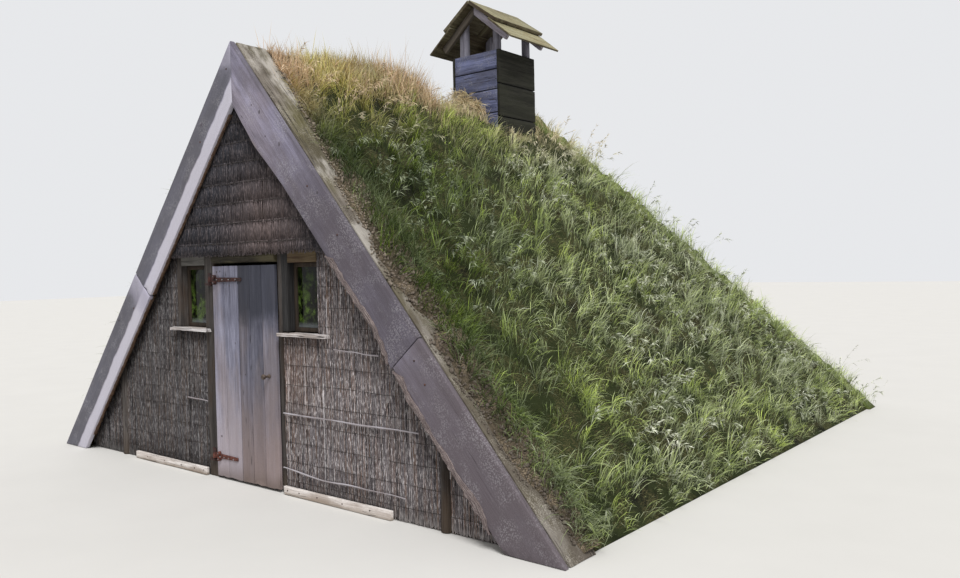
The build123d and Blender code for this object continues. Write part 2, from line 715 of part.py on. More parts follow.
def make_door():
    """Door leaf: upright planks held together by three ledges on the inner side."""
    seams = tuple(DOOR_LEFT + at for at in PLANK_SEAMS_AT)
    edges = (DOOR_LEFT - SEAM_GAP / 2,) + seams + (DOOR_RIGHT + SEAM_GAP / 2,)
    planks = []
    for left, right in zip(edges[:-1], edges[1:]):
        x0 = left + SEAM_GAP / 2
        x1 = right - SEAM_GAP / 2
        planks.append(box(x0, x1, LEAF_Y, LEAF_BACK, DOOR_BOTTOM, DOOR_TOP).solid())
    ledges = []
    for middle in LEDGE_HEIGHTS:
        ledges.append(box(
            DOOR_LEFT + LEDGE_INSET, DOOR_RIGHT - LEDGE_INSET, LEAF_BACK, LEAF_BACK + LEDGE_THICK,
            middle - LEDGE_HEIGHT / 2, middle + LEDGE_HEIGHT / 2).solid())
    return {"door_planks": Compound(planks), "door_ledges": Compound(ledges)}


def make_hinges():
    """Tapered straps with an eye on the leaf, and plates with an upright pin on the post."""
    straps = []
    pintles = []
    for middle, length in HINGES:
        outline = [
            (PIVOT_X, middle - STRAP_ROOT / 2),
            (PIVOT_X + length, middle - STRAP_TIP / 2),
            (PIVOT_X + length, middle + STRAP_TIP / 2),
            (PIVOT_X, middle + STRAP_ROOT / 2),
        ]
        strap = along_y(outline, LEAF_Y - STRAP_THICK, LEAF_Y)
        strap += Pos(PIVOT_X, PIVOT_Y, middle) * Cylinder(EYE_RADIUS, EYE_HEIGHT)
        strap -= Pos(PIVOT_X, PIVOT_Y, middle) * Cylinder(PIN_RADIUS + PIN_CLEAR, 2 * EYE_HEIGHT)
        straps.append(strap.solid())
        shoulder = middle - EYE_HEIGHT / 2 - PINTLE_GAP
        plate_right = PIVOT_X - EYE_RADIUS - PINTLE_GAP
        arm = box(
            plate_right - PLATE_WIDTH, PIVOT_X + PIN_RADIUS, PIVOT_Y - PIN_RADIUS, WALL_Y,
            shoulder - PINTLE_HEIGHT, shoulder)
        plate = box(
            plate_right - PLATE_WIDTH, plate_right, WALL_Y - PLATE_THICK, WALL_Y,
            middle - PLATE_HEIGHT / 2, middle + PLATE_HEIGHT / 2)
        pin_low = shoulder - PINTLE_HEIGHT
        pin_high = middle + EYE_HEIGHT / 2 + PIN_RISE
        pin = Pos(PIVOT_X, PIVOT_Y, (pin_low + pin_high) / 2) * Cylinder(PIN_RADIUS, pin_high - pin_low)
        pintles.append((plate + arm + pin).solid())
    return {"hinge_straps": Compound(straps), "hinge_pintles": Compound(pintles)}


def make_knob():
    """Knob of the door: a stem that stands out of the last plank, with a wider head."""
    knob_x = DOOR_RIGHT - KNOB_FROM_EDGE
    stem = Rot(90, 0, 0) * Cylinder(KNOB_STEM_RADIUS, KNOB_STEM_LENGTH)
    head = Rot(90, 0, 0) * Cylinder(KNOB_HEAD_RADIUS, KNOB_HEAD_LENGTH)
    knob = Pos(knob_x, LEAF_Y - KNOB_STEM_LENGTH / 2, KNOB_Z) * stem
    knob += Pos(knob_x, LEAF_Y - KNOB_STEM_LENGTH - KNOB_HEAD_LENGTH / 2, KNOB_Z) * head
    return {"door_knob": knob}


def node_pieces():
    """Every node of the house by its name."""
    pieces = {}
    for group in (
        make_front_boards(),
        make_gable_edge(),
        make_roof(),
        make_rafters(),
        make_gable(),
        make_wall_frame(),
        make_reed_walls(),
        make_windows(),
        make_sills(),
        make_foot_boards(),
        make_flue(),
        make_cap(),
        make_door(),
        make_hinges(),
        make_knob(),
    ):
        pieces.update(group)
    return pieces


to_origin = Pos(0, -REAR_Y / 2, 0)
for node, piece in node_pieces().items():
    export_step(to_origin * piece, "parts/" + node + ".step")
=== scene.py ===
"""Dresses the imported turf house: worn boards, stalks of reed, turf with grass, and a planked vent."""

from math import atan2, cos, pi, radians, sin, tan

import bmesh
import bpy
import numpy as np
from bpy.props import FloatProperty, FloatVectorProperty, IntProperty, PointerProperty
from mathutils import Matrix, Vector
from mathutils.bvhtree import BVHTree
from mathutils.noise import noise


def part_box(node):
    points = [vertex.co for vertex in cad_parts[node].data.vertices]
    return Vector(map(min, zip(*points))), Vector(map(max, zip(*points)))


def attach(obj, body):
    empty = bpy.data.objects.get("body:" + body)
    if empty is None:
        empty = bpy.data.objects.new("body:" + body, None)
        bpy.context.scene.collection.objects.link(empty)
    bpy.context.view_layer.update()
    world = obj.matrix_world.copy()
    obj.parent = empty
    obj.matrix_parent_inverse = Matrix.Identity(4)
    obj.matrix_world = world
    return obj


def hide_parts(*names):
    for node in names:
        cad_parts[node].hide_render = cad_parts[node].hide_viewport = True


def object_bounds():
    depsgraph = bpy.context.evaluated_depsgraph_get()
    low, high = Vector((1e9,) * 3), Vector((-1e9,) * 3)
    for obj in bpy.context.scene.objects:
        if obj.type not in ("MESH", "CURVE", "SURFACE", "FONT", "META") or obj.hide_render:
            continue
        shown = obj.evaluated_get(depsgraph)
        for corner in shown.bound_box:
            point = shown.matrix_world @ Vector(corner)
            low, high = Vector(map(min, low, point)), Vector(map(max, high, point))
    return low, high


bl_info = {
    "name": "Turf House",
    "version": (1, 0, 0),
    "blender": (4, 5, 0),
    "location": "View3D > Sidebar > Turf House",
    "description": "Dresses a packed turf house with worn boards, reed, turf, grass and a smoke vent",
    "category": "Object",
}

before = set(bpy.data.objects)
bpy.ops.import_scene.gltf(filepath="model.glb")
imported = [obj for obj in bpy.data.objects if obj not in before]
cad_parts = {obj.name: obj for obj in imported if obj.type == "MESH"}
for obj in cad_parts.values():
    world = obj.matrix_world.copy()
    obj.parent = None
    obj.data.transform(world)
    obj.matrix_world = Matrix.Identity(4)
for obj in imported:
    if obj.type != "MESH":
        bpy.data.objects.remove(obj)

CAD_LOW, CAD_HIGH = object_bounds()
HALF_WIDTH = CAD_HIGH.x
FRONT = CAD_LOW.y
REAR = CAD_HIGH.y
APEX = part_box("top_board_right")[1].z
SLOPE = atan2(APEX, HALF_WIDTH)
REAR_FACE = max(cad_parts["lining_rear"].data.polygons, key=lambda face: face.area)
REAR_SLOPE = atan2(abs(REAR_FACE.normal.y), abs(REAR_FACE.normal.z))
HIP = REAR - APEX / tan(REAR_SLOPE)
TURF_FRONTS = {1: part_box("top_board_right")[1].y, -1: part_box("top_board_left")[1].y}
TOP_BOARD_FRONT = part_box("top_board_right")[0].y
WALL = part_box("door_post_left")[0].y
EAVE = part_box("tie_beam")[0].z
VENT_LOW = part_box("flue_left")[0]
VENT_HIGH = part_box("flue_right")[1]
VENT_MIDDLE = (VENT_LOW.y + VENT_HIGH.y) / 2
SLOPE_LENGTH = APEX / sin(SLOPE)

# Out of and down each slope, with 1 for the right side and -1 for the left one.
SIDES = {"left": -1, "right": 1}
OUT = {side: Vector((side * sin(SLOPE), 0, cos(SLOPE))) for side in SIDES.values()}
DOWN = {side: Vector((side * cos(SLOPE), 0, -sin(SLOPE))) for side in SIDES.values()}
REAR_OUT = Vector((0, sin(REAR_SLOPE), cos(REAR_SLOPE)))
REAR_DOWN = Vector((0, cos(REAR_SLOPE), -sin(REAR_SLOPE)))
X_AXIS, Y_AXIS, Z_AXIS = (Vector(row) for row in ((1, 0, 0), (0, 1, 0), (0, 0, 1)))


def display(red, green, blue):
    """Linear colour from display values of 0 to 255."""
    return tuple(((v / 255 + 0.055) / 1.055) ** 2.4 if v > 10 else v / 3294.6 for v in (red, green, blue))


def linear(colour):
    """A linear colour from a setting, or from display values in a tuple."""
    return display(*colour) if isinstance(colour, tuple) else colour


def colour_property(name, description, *values):
    """A colour setting with its default in display values."""
    return FloatVectorProperty(
        name=name, description=description, subtype="COLOR", size=3, min=0.0, max=1.0,
        default=display(*values))


def length_property(name, description, default):
    """A length setting in metres."""
    return FloatProperty(
        name=name, description=description, default=default, min=0.0, subtype="DISTANCE", unit="LENGTH")


class TimberSettings(bpy.types.PropertyGroup):
    """How the timber is worn, and its colours."""

    worn_edge: length_property("Worn edge", "Radius to which the edges of the boards are worn", 0.005)
    step: length_property("Step", "Distance between the divisions of a board", 0.05)
    hollows: length_property("Hollows", "Depth of the hollows that weather leaves in a board", 0.003)
    board_pale: colour_property("Board, pale", "Bleached grain of the front boards", 166, 162, 186)
    board_dark: colour_property("Board, dark", "Dark grain of the front boards", 126, 122, 140)
    door_pale: colour_property("Door, pale", "Bleached grain of the door", 140, 140, 158)
    door_dark: colour_property("Door, dark", "Dark grain of the door", 84, 84, 98)
    frame_pale: colour_property("Wall frame, pale", "Pale grain of the posts", 86, 81, 78)
    frame_dark: colour_property("Wall frame, dark", "Dark grain of the posts", 44, 40, 38)
    inner_pale: colour_property("Inside, pale", "Pale grain of the sheltered timber", 128, 104, 78)
    inner_dark: colour_property("Inside, dark", "Dark grain of the sheltered timber", 62, 48, 36)
    vent_pale: colour_property("Vent, pale", "Pale grain of the vent", 118, 124, 160)
    vent_dark: colour_property("Vent, dark", "Dark grain of the vent", 60, 64, 88)


class ReedSettings(bpy.types.PropertyGroup):
    """How the reed is laid, and its colours."""

    stalk_radius: length_property("Stalk radius", "Mean radius of a stalk of reed", 0.0028)
    pitch: length_property("Pitch", "Distance between neighbouring stalks", 0.0053)
    course: length_property("Course", "Height between the bindings of the gable", 0.16)
    first_course: length_property("First course", "Height of the lowest binding over the eave", 0.075)
    wire_rows: length_property("Wire rows", "Height between the wires of the wall reed", 0.15)
    gable_mid: colour_property("Gable reed", "Common colour of the reed in the gable", 52, 53, 60)
    wall_mid: colour_property("Wall reed", "Common colour of the reed in the walls", 120, 114, 117)
    warm: colour_property("Warm stalks", "Colour of the fresher stalks", 136, 112, 98)
    pale: colour_property("Pale stalks", "Colour of the bleached stalks", 212, 206, 206)


class TurfSettings(bpy.types.PropertyGroup):
    """How the turf and the grass grow, and their colours."""

    matted: length_property("Matted grass", "Depth of the matted grass over the soil", 0.05)
    crumble: length_property("Crumble", "Depth of the small hollows in the turf", 0.014)
    long_blade: length_property("Long blade", "Mean length of the tall grass", 0.28)
    short_blade: length_property("Short blade", "Mean length of the undergrowth", 0.12)
    blade_width: length_property("Blade width", "Width of a blade at its widest", 0.0052)
    density: IntProperty(
        name="Density", description="Blades of grass on a square metre", default=1820, min=100, max=3000)
    green_dark: colour_property("Green, dark", "Dark blades", 50, 78, 18)
    green_pale: colour_property("Green, pale", "Pale blades", 226, 248, 104)
    straw_dark: colour_property("Straw, dark", "Old dry blades near the ridge", 200, 160, 124)
    straw_pale: colour_property("Straw, pale", "Pale dry blades near the ridge", 252, 224, 190)
    bleached_dark: colour_property("Bleached, dark", "Old dry blades on the slopes", 156, 158, 118)
    bleached_pale: colour_property("Bleached, pale", "Pale dry blades on the slopes", 246, 246, 230)
    # Kept near black as painted shade in the hollows between the blades.
    soil: colour_property("Soil", "Bare soil between the blades", 34, 36, 20)


class IronSettings(bpy.types.PropertyGroup):
    """The nails and the rust."""

    nail_radius: length_property("Nail radius", "Radius of a nail head", 0.008)
    rust_dark: colour_property("Rust, dark", "Old rust", 42, 30, 30)
    rust_bright: colour_property("Rust, bright", "Rust in the open", 80, 48, 42)
    rust_fresh: colour_property("Rust, fresh", "Fresh rust of the lower hinge", 124, 74, 62)


class StageSettings(bpy.types.PropertyGroup):
    """The floor, the light and the camera."""

    floor_size: length_property("Floor size", "Side of the square floor", 120.0)
    focal_length: FloatProperty(
        name="Focal length", description="Focal length on a sensor 36 mm wide", default=36 * 834.8 / 960,
        min=1.0, subtype="DISTANCE_CAMERA")
    eye: FloatVectorProperty(
        name="Eye", description="Place of the camera from the middle of the gable's foot",
        default=(5.697, -3.894, 1.728), size=3, subtype="TRANSLATION", unit="LENGTH")
    turn: FloatVectorProperty(
        name="Turn", description="Turn to the left, tilt up and lean of the camera",
        default=(radians(39.41), radians(-1.5), radians(-1.24)), size=3, subtype="EULER", unit="ROTATION")
    sky: FloatProperty(name="Sky", description="Strength of the even light", default=0.56, min=0.0)
    lamp: FloatProperty(name="Lamp", description="Strength of the soft lamp", default=3.0, min=0.0)


class HouseSettings(bpy.types.PropertyGroup):
    """All the settings of the house."""

    timber: PointerProperty(name="Timber", description="Boards and posts", type=TimberSettings)
    reed: PointerProperty(name="Reed", description="Reed of the gable and the walls", type=ReedSettings)
    turf: PointerProperty(name="Turf", description="Turf and its grass", type=TurfSettings)
    iron: PointerProperty(name="Iron", description="Hinges and nails", type=IronSettings)
    stage: PointerProperty(name="Stage", description="Floor, light and camera", type=StageSettings)


def settings():
    """The sizes and colours of the house."""
    return bpy.context.scene.turf_house


# Shader nodes.

class Nodes:
    """A node tree that is being drawn up, and the steps that it is made of."""

    def __init__(self, tree):
        self.tree = tree

    def put(self, kind, inputs=None, **values):
        """Adds a node, sets its own values, then links or sets its inputs."""
        made = self.tree.nodes.new(kind)
        for key, value in values.items():
            setattr(made, key, value)
        for key, value in (inputs or {}).items():
            if isinstance(value, bpy.types.NodeSocket):
                self.tree.links.new(value, made.inputs[key])
            else:
                made.inputs[key].default_value = value
        return made

    def sums(self, operation, first, second=0.0, third=0.0):
        """One step of arithmetic on values."""
        return self.put("ShaderNodeMath", {0: first, 1: second, 2: third}, operation=operation).outputs[0]

    def times(self, first, second):
        """The product of two values."""
        return self.sums("MULTIPLY", first, second)

    def times_plus(self, first, second, third):
        """The product of two values, with a third one added."""
        return self.sums("MULTIPLY_ADD", first, second, third)

    def minus(self, first, second):
        """The difference of two values."""
        return self.sums("SUBTRACT", first, second)

    def vectors(self, operation, inputs):
        """The outputs of one step of arithmetic on vectors."""
        return self.put("ShaderNodeVectorMath", inputs, operation=operation).outputs

    def scaled(self, vector, factors):
        """A vector times fixed factors."""
        return self.vectors("MULTIPLY", {0: vector, 1: factors})[0]

    def shaken(self, vector, scale, reach):
        """A vector that noise moves by up to a reach."""
        bend = self.put("ShaderNodeTexNoise", {"Vector": vector, "Scale": scale, "Detail": 2.0})
        return self.vectors("MULTIPLY_ADD", {0: bend.outputs["Color"], 1: reach, 2: vector})[0]

    def spread(self, value, low, high, out_low=0.0, out_high=1.0):
        """Turns the stretch of a value between two limits smoothly into another stretch."""
        return self.put(
            "ShaderNodeMapRange",
            {"Value": value, "From Min": low, "From Max": high, "To Min": out_low, "To Max": out_high},
            interpolation_type="SMOOTHSTEP").outputs[0]

    def speckled(self, vector, scale, detail=3.0, roughness=0.55):
        """Noise between 0 and 1."""
        return self.put(
            "ShaderNodeTexNoise",
            {"Vector": vector, "Scale": scale, "Detail": detail, "Roughness": roughness}).outputs["Fac"]

    def streaked(self, vector, factors, detail=3.0, roughness=0.55):
        """Noise between 0 and 1, finer by fixed factors along the axes."""
        return self.speckled(self.scaled(vector, factors), 1.0, detail, roughness)

    def mixed(self, share, first, second, blend="MIX"):
        """A mix of two colours."""
        first, second = (
            value if isinstance(value, bpy.types.NodeSocket) else (*linear(value), 1.0)
            for value in (first, second))
        # The node's sockets 0, 6 and 7 and its output 2 are the share and the colours.
        given = {0: share, 6: first, 7: second}
        return self.put("ShaderNodeMix", given, data_type="RGBA", blend_type=blend).outputs[2]

    def dimmed(self, colour, factors):
        """A colour times a socket or times the factors in a vector."""
        return self.mixed(1.0, colour, factors, "MULTIPLY")

    def tinted(self, colour, mask, strength, tint):
        """A colour with another one over it, by a mask and a strength."""
        return self.mixed(self.times(mask, strength), colour, tint)

    def place(self):
        """Where the surface is on the house."""
        return self.put("ShaderNodeTexCoord").outputs["Object"]

    def parts(self, vector):
        """The X, Y and Z of a vector."""
        return self.put("ShaderNodeSeparateXYZ", {0: vector}).outputs

    def stored(self, name):
        """A vector that was stored on the piece's points."""
        return self.put(
            "ShaderNodeAttribute", attribute_name=name, attribute_type="GEOMETRY").outputs["Vector"]

    def shared(self, name, **inputs):
        """Places a shared group, built on its first use, and gives its outputs."""
        tree = bpy.data.node_groups.get(name) or SHARED[name](name)
        return self.put("ShaderNodeGroup", inputs, node_tree=tree).outputs


class Finish(Nodes):
    """A material with one Principled shader and constants on its own sockets."""

    def __init__(self, name, **constants):
        self.material = bpy.data.materials.new(name)
        self.material.use_nodes = True
        super().__init__(self.material.node_tree)
        self.inputs = self.tree.nodes["Principled BSDF"].inputs
        for key, value in constants.items():
            self.inputs[key.replace("_", " ")].default_value = value

    def close(self, colour, roughness=None, height=None, strength=0.0, distance=0.0):
        """Links the colour, the roughness and the relief to the shader."""
        self.tree.links.new(colour, self.inputs["Base Color"])
        if roughness:
            self.tree.links.new(roughness, self.inputs["Roughness"])
        if height:
            relief = {"Height": height, "Strength": strength, "Distance": distance}
            self.tree.links.new(self.put("ShaderNodeBump", relief).outputs[0], self.inputs["Normal"])
        return self.material


class Group(Nodes):
    """A node group with named sockets."""

    def __init__(self, name, *inputs):
        super().__init__(bpy.data.node_groups.new(name, "ShaderNodeTree"))
        for label, kind, default in inputs:
            made = self.tree.interface.new_socket(label, in_out="INPUT", socket_type="NodeSocket" + kind)
            if default is not None:
                made.default_value = default
        self.given = self.tree.nodes.new("NodeGroupInput").outputs

    def close(self, results):
        """Gives the group its outputs, each under its name."""
        for label in results:
            self.tree.interface.new_socket(label, in_out="OUTPUT", socket_type="NodeSocketFloat")
        self.put("NodeGroupOutput", results)
        return self.tree


def build_long_grain(name):
    """Grain that runs along a board, with splits in it."""
    ink = Group(
        name, ("Lay", "Vector", None), ("Fineness", "Float", 1.0), ("Splits", "Float", 0.4))
    bent = ink.shaken(ink.given["Lay"], 2.2, (0.0, 0.035, 0.035))
    bent = ink.vectors("SCALE", {0: bent, "Scale": ink.given["Fineness"]})[0]
    broad = ink.streaked(bent, (1.3, 20.0, 20.0), 5.0, 0.62)
    fine = ink.streaked(bent, (5.0, 170.0, 170.0), 2.0, 0.5)
    grain = ink.spread(ink.times_plus(broad, 0.62, ink.times(fine, 0.38)), 0.33, 0.67)
    line = ink.streaked(bent, (0.8, 30.0, 30.0), 2.0, 0.5)
    line = ink.spread(ink.sums("ABSOLUTE", ink.minus(line, 0.5)), 0.0, 0.014, 1.0, 0.0)
    where = ink.streaked(ink.given["Lay"], (0.9, 5.0, 5.0), 2.0, 0.5)
    limit = ink.minus(0.82, ink.times(ink.given["Splits"], 0.45))
    splits = ink.times(line, ink.spread(ink.minus(where, limit), -0.04, 0.06))
    height = ink.minus(ink.times(grain, 0.55), ink.times(splits, 1.3))
    return ink.close({"Grain": grain, "Splits": splits, "Height": height})


def build_patches(name):
    """Soft patches that cover about a share of the surface."""
    ink = Group(
        name, ("Lay", "Vector", None), ("Scale", "Float", 3.0), ("Share", "Float", 0.4),
        ("Softness", "Float", 0.08))
    value = ink.speckled(ink.given["Lay"], ink.given["Scale"], 5.0, 0.6)
    middle = ink.minus(0.66, ink.times(ink.given["Share"], 0.34))
    away = ink.sums("DIVIDE", ink.minus(value, middle), ink.given["Softness"])
    return ink.close({"Mask": ink.spread(away, -1.0, 1.0)})


def build_crusts(name):
    """Small round crusts in patches, such as lichen."""
    ink = Group(
        name, ("Lay", "Vector", None), ("Size", "Float", 0.02), ("Share", "Float", 0.4))
    scale = ink.sums("DIVIDE", 1.0, ink.given["Size"])
    uneven = ink.shaken(ink.given["Lay"], 60.0, (0.02, 0.02, 0.02))
    dots = ink.put("ShaderNodeTexVoronoi", {"Vector": uneven, "Scale": scale}).outputs["Distance"]
    cloud = ink.shared(
        "patches", Lay=ink.given["Lay"], Share=ink.given["Share"], Scale=5.0, Softness=0.12)
    return ink.close({"Mask": ink.times(ink.spread(dots, 0.28, 0.55, 1.0, 0.0), cloud["Mask"])})


def build_ground_damp(name):
    """Damp and splashed soil near the ground, up to a ragged height."""
    ink = Group(name, ("Height", "Float", 0.35))
    place = ink.place()
    ragged = ink.streaked(place, (9.0, 9.0, 1.5), 4.0, 0.6)
    limit = ink.times(ink.given["Height"], ink.sums("ADD", ragged, 0.45))
    share = ink.sums("DIVIDE", ink.parts(place)["Z"], limit)
    return ink.close({"Mask": ink.spread(share, 0.1, 1.1, 1.0, 0.0)})


SHARED = {
    "long_grain": build_long_grain,
    "patches": build_patches,
    "crusts": build_crusts,
    "ground_damp": build_ground_damp,
}


def timber(name, pale, dark, split=(44, 40, 40), fineness=1.0, splits=0.4, relief=0.5, varied=0.18,
           crusts=(), stains=(), damp=None, across=(), along=(), seams=None, under=None):
    """Weathered wood: grain and splits along each board, stains, crusts and damp over them.

    stains and crusts are (colour, scale or size, share, strength), across and along are (colour, start, end,
    strength) by the share of a board's width or length, damp is (colour, height, strength), seams is (colour,
    share of the width, strength) for the dark long edges of a board, and under is (colour, strength) of
    painted shade on the faces that don't look up."""
    ink = Finish(name, Specular_IOR_Level=0.25)
    lay = ink.stored("lay")
    own = ink.parts(ink.stored("share"))
    grain = ink.shared("long_grain", Lay=lay, Fineness=fineness, Splits=splits)
    colour = ink.mixed(grain["Grain"], dark, pale)
    for tint, scale, share, strength in stains:
        drawn_out = ink.scaled(lay, (0.45, 1.0, 1.0))
        mask = ink.shared("patches", Lay=drawn_out, Scale=scale, Share=share)["Mask"]
        colour = ink.tinted(colour, mask, strength, tint)
    shake = ink.times_plus(ink.speckled(lay, 6.0, 4.0), 0.16, -0.08)
    for bands, share in ((across, own["Y"]), (along, own["X"])):
        for tint, start, end, strength in bands:
            mask = ink.spread(ink.sums("ADD", share, shake), start, end)
            colour = ink.tinted(colour, mask, strength, tint)
    level = ink.times_plus(own["Z"], 2 * varied, 1.0 - varied)
    flecks = ink.streaked(lay, (150.0, 420.0, 420.0), 2.0)
    level = ink.times(level, ink.spread(flecks, 0.3, 0.7, 0.86, 1.14))
    level = ink.put("ShaderNodeCombineColor", {0: level, 1: level, 2: level}).outputs[0]
    colour = ink.dimmed(colour, level)
    for tint, size, share, strength in crusts:
        mask = ink.shared("crusts", Lay=lay, Size=size, Share=share)["Mask"]
        colour = ink.tinted(colour, mask, strength, tint)
    if damp:
        tint, height, strength = damp
        colour = ink.tinted(colour, ink.shared("ground_damp", Height=height)["Mask"], strength, tint)
    if seams:
        tint, width, strength = seams
        near = ink.minus(0.5, ink.sums("ABSOLUTE", ink.minus(own["Y"], 0.5)))
        colour = ink.tinted(colour, ink.spread(near, 0.0, width, 1.0, 0.0), strength, tint)
    if under:
        tint, strength = under
        own_tint = ink.mixed(ink.times(grain["Grain"], 0.45), tint, colour)
        colour = ink.mixed(ink.times(ink.parts(ink.stored("under"))["X"], strength), colour, own_tint)
    colour = ink.mixed(grain["Splits"], colour, split)
    roughness = ink.spread(grain["Grain"], 0.0, 1.0, 0.92, 0.74)
    return ink.close(colour, roughness, ink.times_plus(flecks, 0.25, grain["Height"]), relief, 0.004)


def reed_finish(name, mid, pale, warm, dark, sunlit_patch, shaded=0.0):
    """Reed: each stalk has its own colour, with short pale and dark flecks and paler tips.

    The fifth argument is (middle, reach, colour, strength): a painted pool of warm sunlight over the reed's
    streaks. shaded is how much of its colour is lost left of the door, as painted shade."""
    ink = Finish(name, Specular_IOR_Level=0.3)
    own = ink.parts(ink.stored("blade"))
    ramp = ink.put("ShaderNodeValToRGB", {0: own["Y"]})
    stops = ((0.0, dark), (0.26, mid), (0.5, warm), (0.66, mid), (0.97, mid), (1.0, pale))
    while len(ramp.color_ramp.elements) < len(stops):
        ramp.color_ramp.elements.new(0.5)
    for element, (position, tint) in zip(ramp.color_ramp.elements, stops):
        element.position = position
        element.color = (*linear(tint), 1.0)
    place = ink.place()
    streak = ink.streaked(place, (300.0, 60.0, 24.0), 3.0, 0.65)
    colour = ink.mixed(ink.spread(streak, 0.34, 0.5, 0.75, 0.0), ramp.outputs[0], dark)
    colour = ink.mixed(ink.spread(streak, 0.54, 0.63, 0.0, 0.9), colour, pale)
    # Painted sunlight: a warm pool over the streaks.
    middle, reach, tint, strength = sunlit_patch
    away = ink.vectors("LENGTH", {0: ink.vectors("SUBTRACT", {0: place, 1: middle})[0]})["Value"]
    colour = ink.tinted(colour, ink.spread(away, 0.0, reach, strength, 0.0), streak, tint)
    patch = ink.shared("patches", Lay=place, Scale=2.6, Share=0.45, Softness=0.2)["Mask"]
    colour = ink.mixed(ink.times(patch, 0.25), colour, dark)
    colour = ink.mixed(ink.times(ink.spread(own["X"], 0.0, 0.14, 1.0, 0.0), own["Z"]), colour, pale)
    # Painted shade on the reed left of the door.
    dim = ink.dimmed(colour, Vector((0.2, 0.22, 0.22)))
    colour = ink.mixed(ink.spread(ink.parts(place)["X"], -0.45, -0.2, shaded, 0.0), colour, dim)
    return ink.close(colour, ink.spread(streak, 0.3, 0.7, 0.85, 0.6), streak, 0.35, 0.001)


def grass_finish(name, colours):
    """Blades of grass: green or dry by what is stored on them, with painted shade at the root, in patches and
    over the shady stretch near the gable, and a pale wash of painted sunlight elsewhere.
    """
    ink = Finish(name, Specular_IOR_Level=0.25)
    own = ink.parts(ink.stored("blade"))
    place = ink.place()
    there = ink.parts(place)
    high = ink.spread(there["Z"], APEX - 1.0, APEX - 0.25)
    yellowed = ink.times(high, ink.spread(there["Y"], FRONT + 1.0, FRONT + 1.6, 0.8, 0.1))
    shady_end = FRONT + 1.65 - 0.5 * SLOPE_LENGTH
    sunny = ink.times_plus(there["Z"], -0.5 / sin(SLOPE), there["Y"])
    sunny = ink.spread(sunny, shady_end, shady_end + 1.9)
    shady = ink.times(ink.minus(1.0, sunny), ink.minus(1.0, high))
    green = ink.mixed(own["Y"], colours.green_dark, colours.green_pale)
    green = ink.mixed(yellowed, green, (228, 216, 112))
    straw = ink.mixed(own["Y"], colours.straw_dark, colours.straw_pale)
    bleached = ink.mixed(own["Y"], colours.bleached_dark, colours.bleached_pale)
    colour = ink.mixed(own["Z"], green, ink.mixed(high, bleached, straw))
    colour = ink.mixed(ink.spread(own["X"], 0.55, 1.0, 0.0, 0.45), colour, colours.bleached_pale)
    # Painted shade towards the foot of each blade, less near the ridge.
    root = ink.dimmed(colour, Vector((0.1, 0.11, 0.09)))
    root = ink.mixed(ink.times(high, ink.times_plus(own["Z"], 0.3, 0.3)), root, colour)
    colour = ink.mixed(ink.spread(own["X"], 0.04, 0.55), root, colour)
    # Painted shade in patches of hollows, weaker in the painted sunlight and near the ridge.
    hollow_shade = ink.shared("patches", Lay=place, Scale=2.6, Share=0.5, Softness=0.1)["Mask"]
    hollow_shade = ink.times(hollow_shade, ink.times_plus(sunny, -0.35, 0.9))
    hollow_shade = ink.times(hollow_shade, ink.times_plus(high, -0.6, 1.0))
    colour = ink.mixed(hollow_shade, colour, ink.dimmed(colour, Vector((0.4, 0.44, 0.4))))
    # Painted shade over the shady stretch, then a pale wash of painted sunlight.
    colour = ink.mixed(ink.times(shady, 0.8), colour, ink.dimmed(colour, Vector((0.5, 0.56, 0.46))))
    colour = ink.tinted(colour, sunny, 0.2, (204, 214, 172))
    fibre = ink.speckled(place, 90.0, 2.0)
    colour = ink.mixed(ink.spread(fibre, 0.3, 0.7, 0.22, 0.0), colour, colours.green_dark)
    return ink.close(colour, ink.spread(fibre, 0.3, 0.7, 0.55, 0.75))


def soil_finish(name, soil, moss, straw, green=0.7, shaded=0.0):
    """Turf under the grass: crumbly soil, moss and a felt of dead blades.

    green is the share of the moss, and shaded how much of the colour is lost low down, as painted shade."""
    ink = Finish(name, Specular_IOR_Level=0.15)
    place = ink.place()
    fine = ink.speckled(place, 38.0, 8.0, 0.7)
    dark_soil = 0.3 * Vector(linear(soil))
    colour = ink.mixed(ink.spread(fine, 0.38, 0.64), dark_soil, soil)
    moss_mask = ink.shared("patches", Lay=place, Scale=2.3, Share=0.75)["Mask"]
    colour = ink.mixed(ink.times(moss_mask, green), colour, moss)
    felt = ink.streaked(place, (160.0, 45.0, 160.0), 3.0, 0.6)
    felt_mask = ink.shared("patches", Lay=place, Scale=4.0, Share=0.45)["Mask"]
    felt_mask = ink.times(felt_mask, ink.spread(felt, 0.45, 0.62))
    colour = ink.mixed(ink.times(felt_mask, 0.75), colour, straw)
    # Painted shade, darker towards the bottom of the slope.
    colour = ink.mixed(ink.spread(ink.parts(place)["Z"], 1.0, 2.2, shaded, 0.0), colour, dark_soil)
    roughness = ink.spread(fine, 0.0, 1.0, 0.95, 0.8)
    return ink.close(colour, roughness, ink.sums("ADD", fine, ink.times(felt, 0.4)), 0.9, 0.02)


def iron_finish(name, dark, bright, metal=0.35):
    """Forged iron under rust, or with no metal in it a plain dark stain of wood or thread."""
    ink = Finish(name, Metallic=metal, Specular_IOR_Level=0.4)
    place = ink.place()
    bloom = ink.speckled(place, 55.0, 6.0, 0.65)
    pits = ink.speckled(place, 420.0, 3.0, 0.6)
    colour = ink.mixed(ink.spread(bloom, 0.4, 0.62), dark, bright)
    deep = 0.3 * Vector(linear(dark))
    colour = ink.mixed(ink.spread(pits, 0.35, 0.6, 0.5, 0.0), colour, deep)
    roughness = ink.spread(bloom, 0.3, 0.7, 0.55, 0.85)
    return ink.close(colour, roughness, ink.sums("ADD", bloom, pits), 0.5, 0.0015)


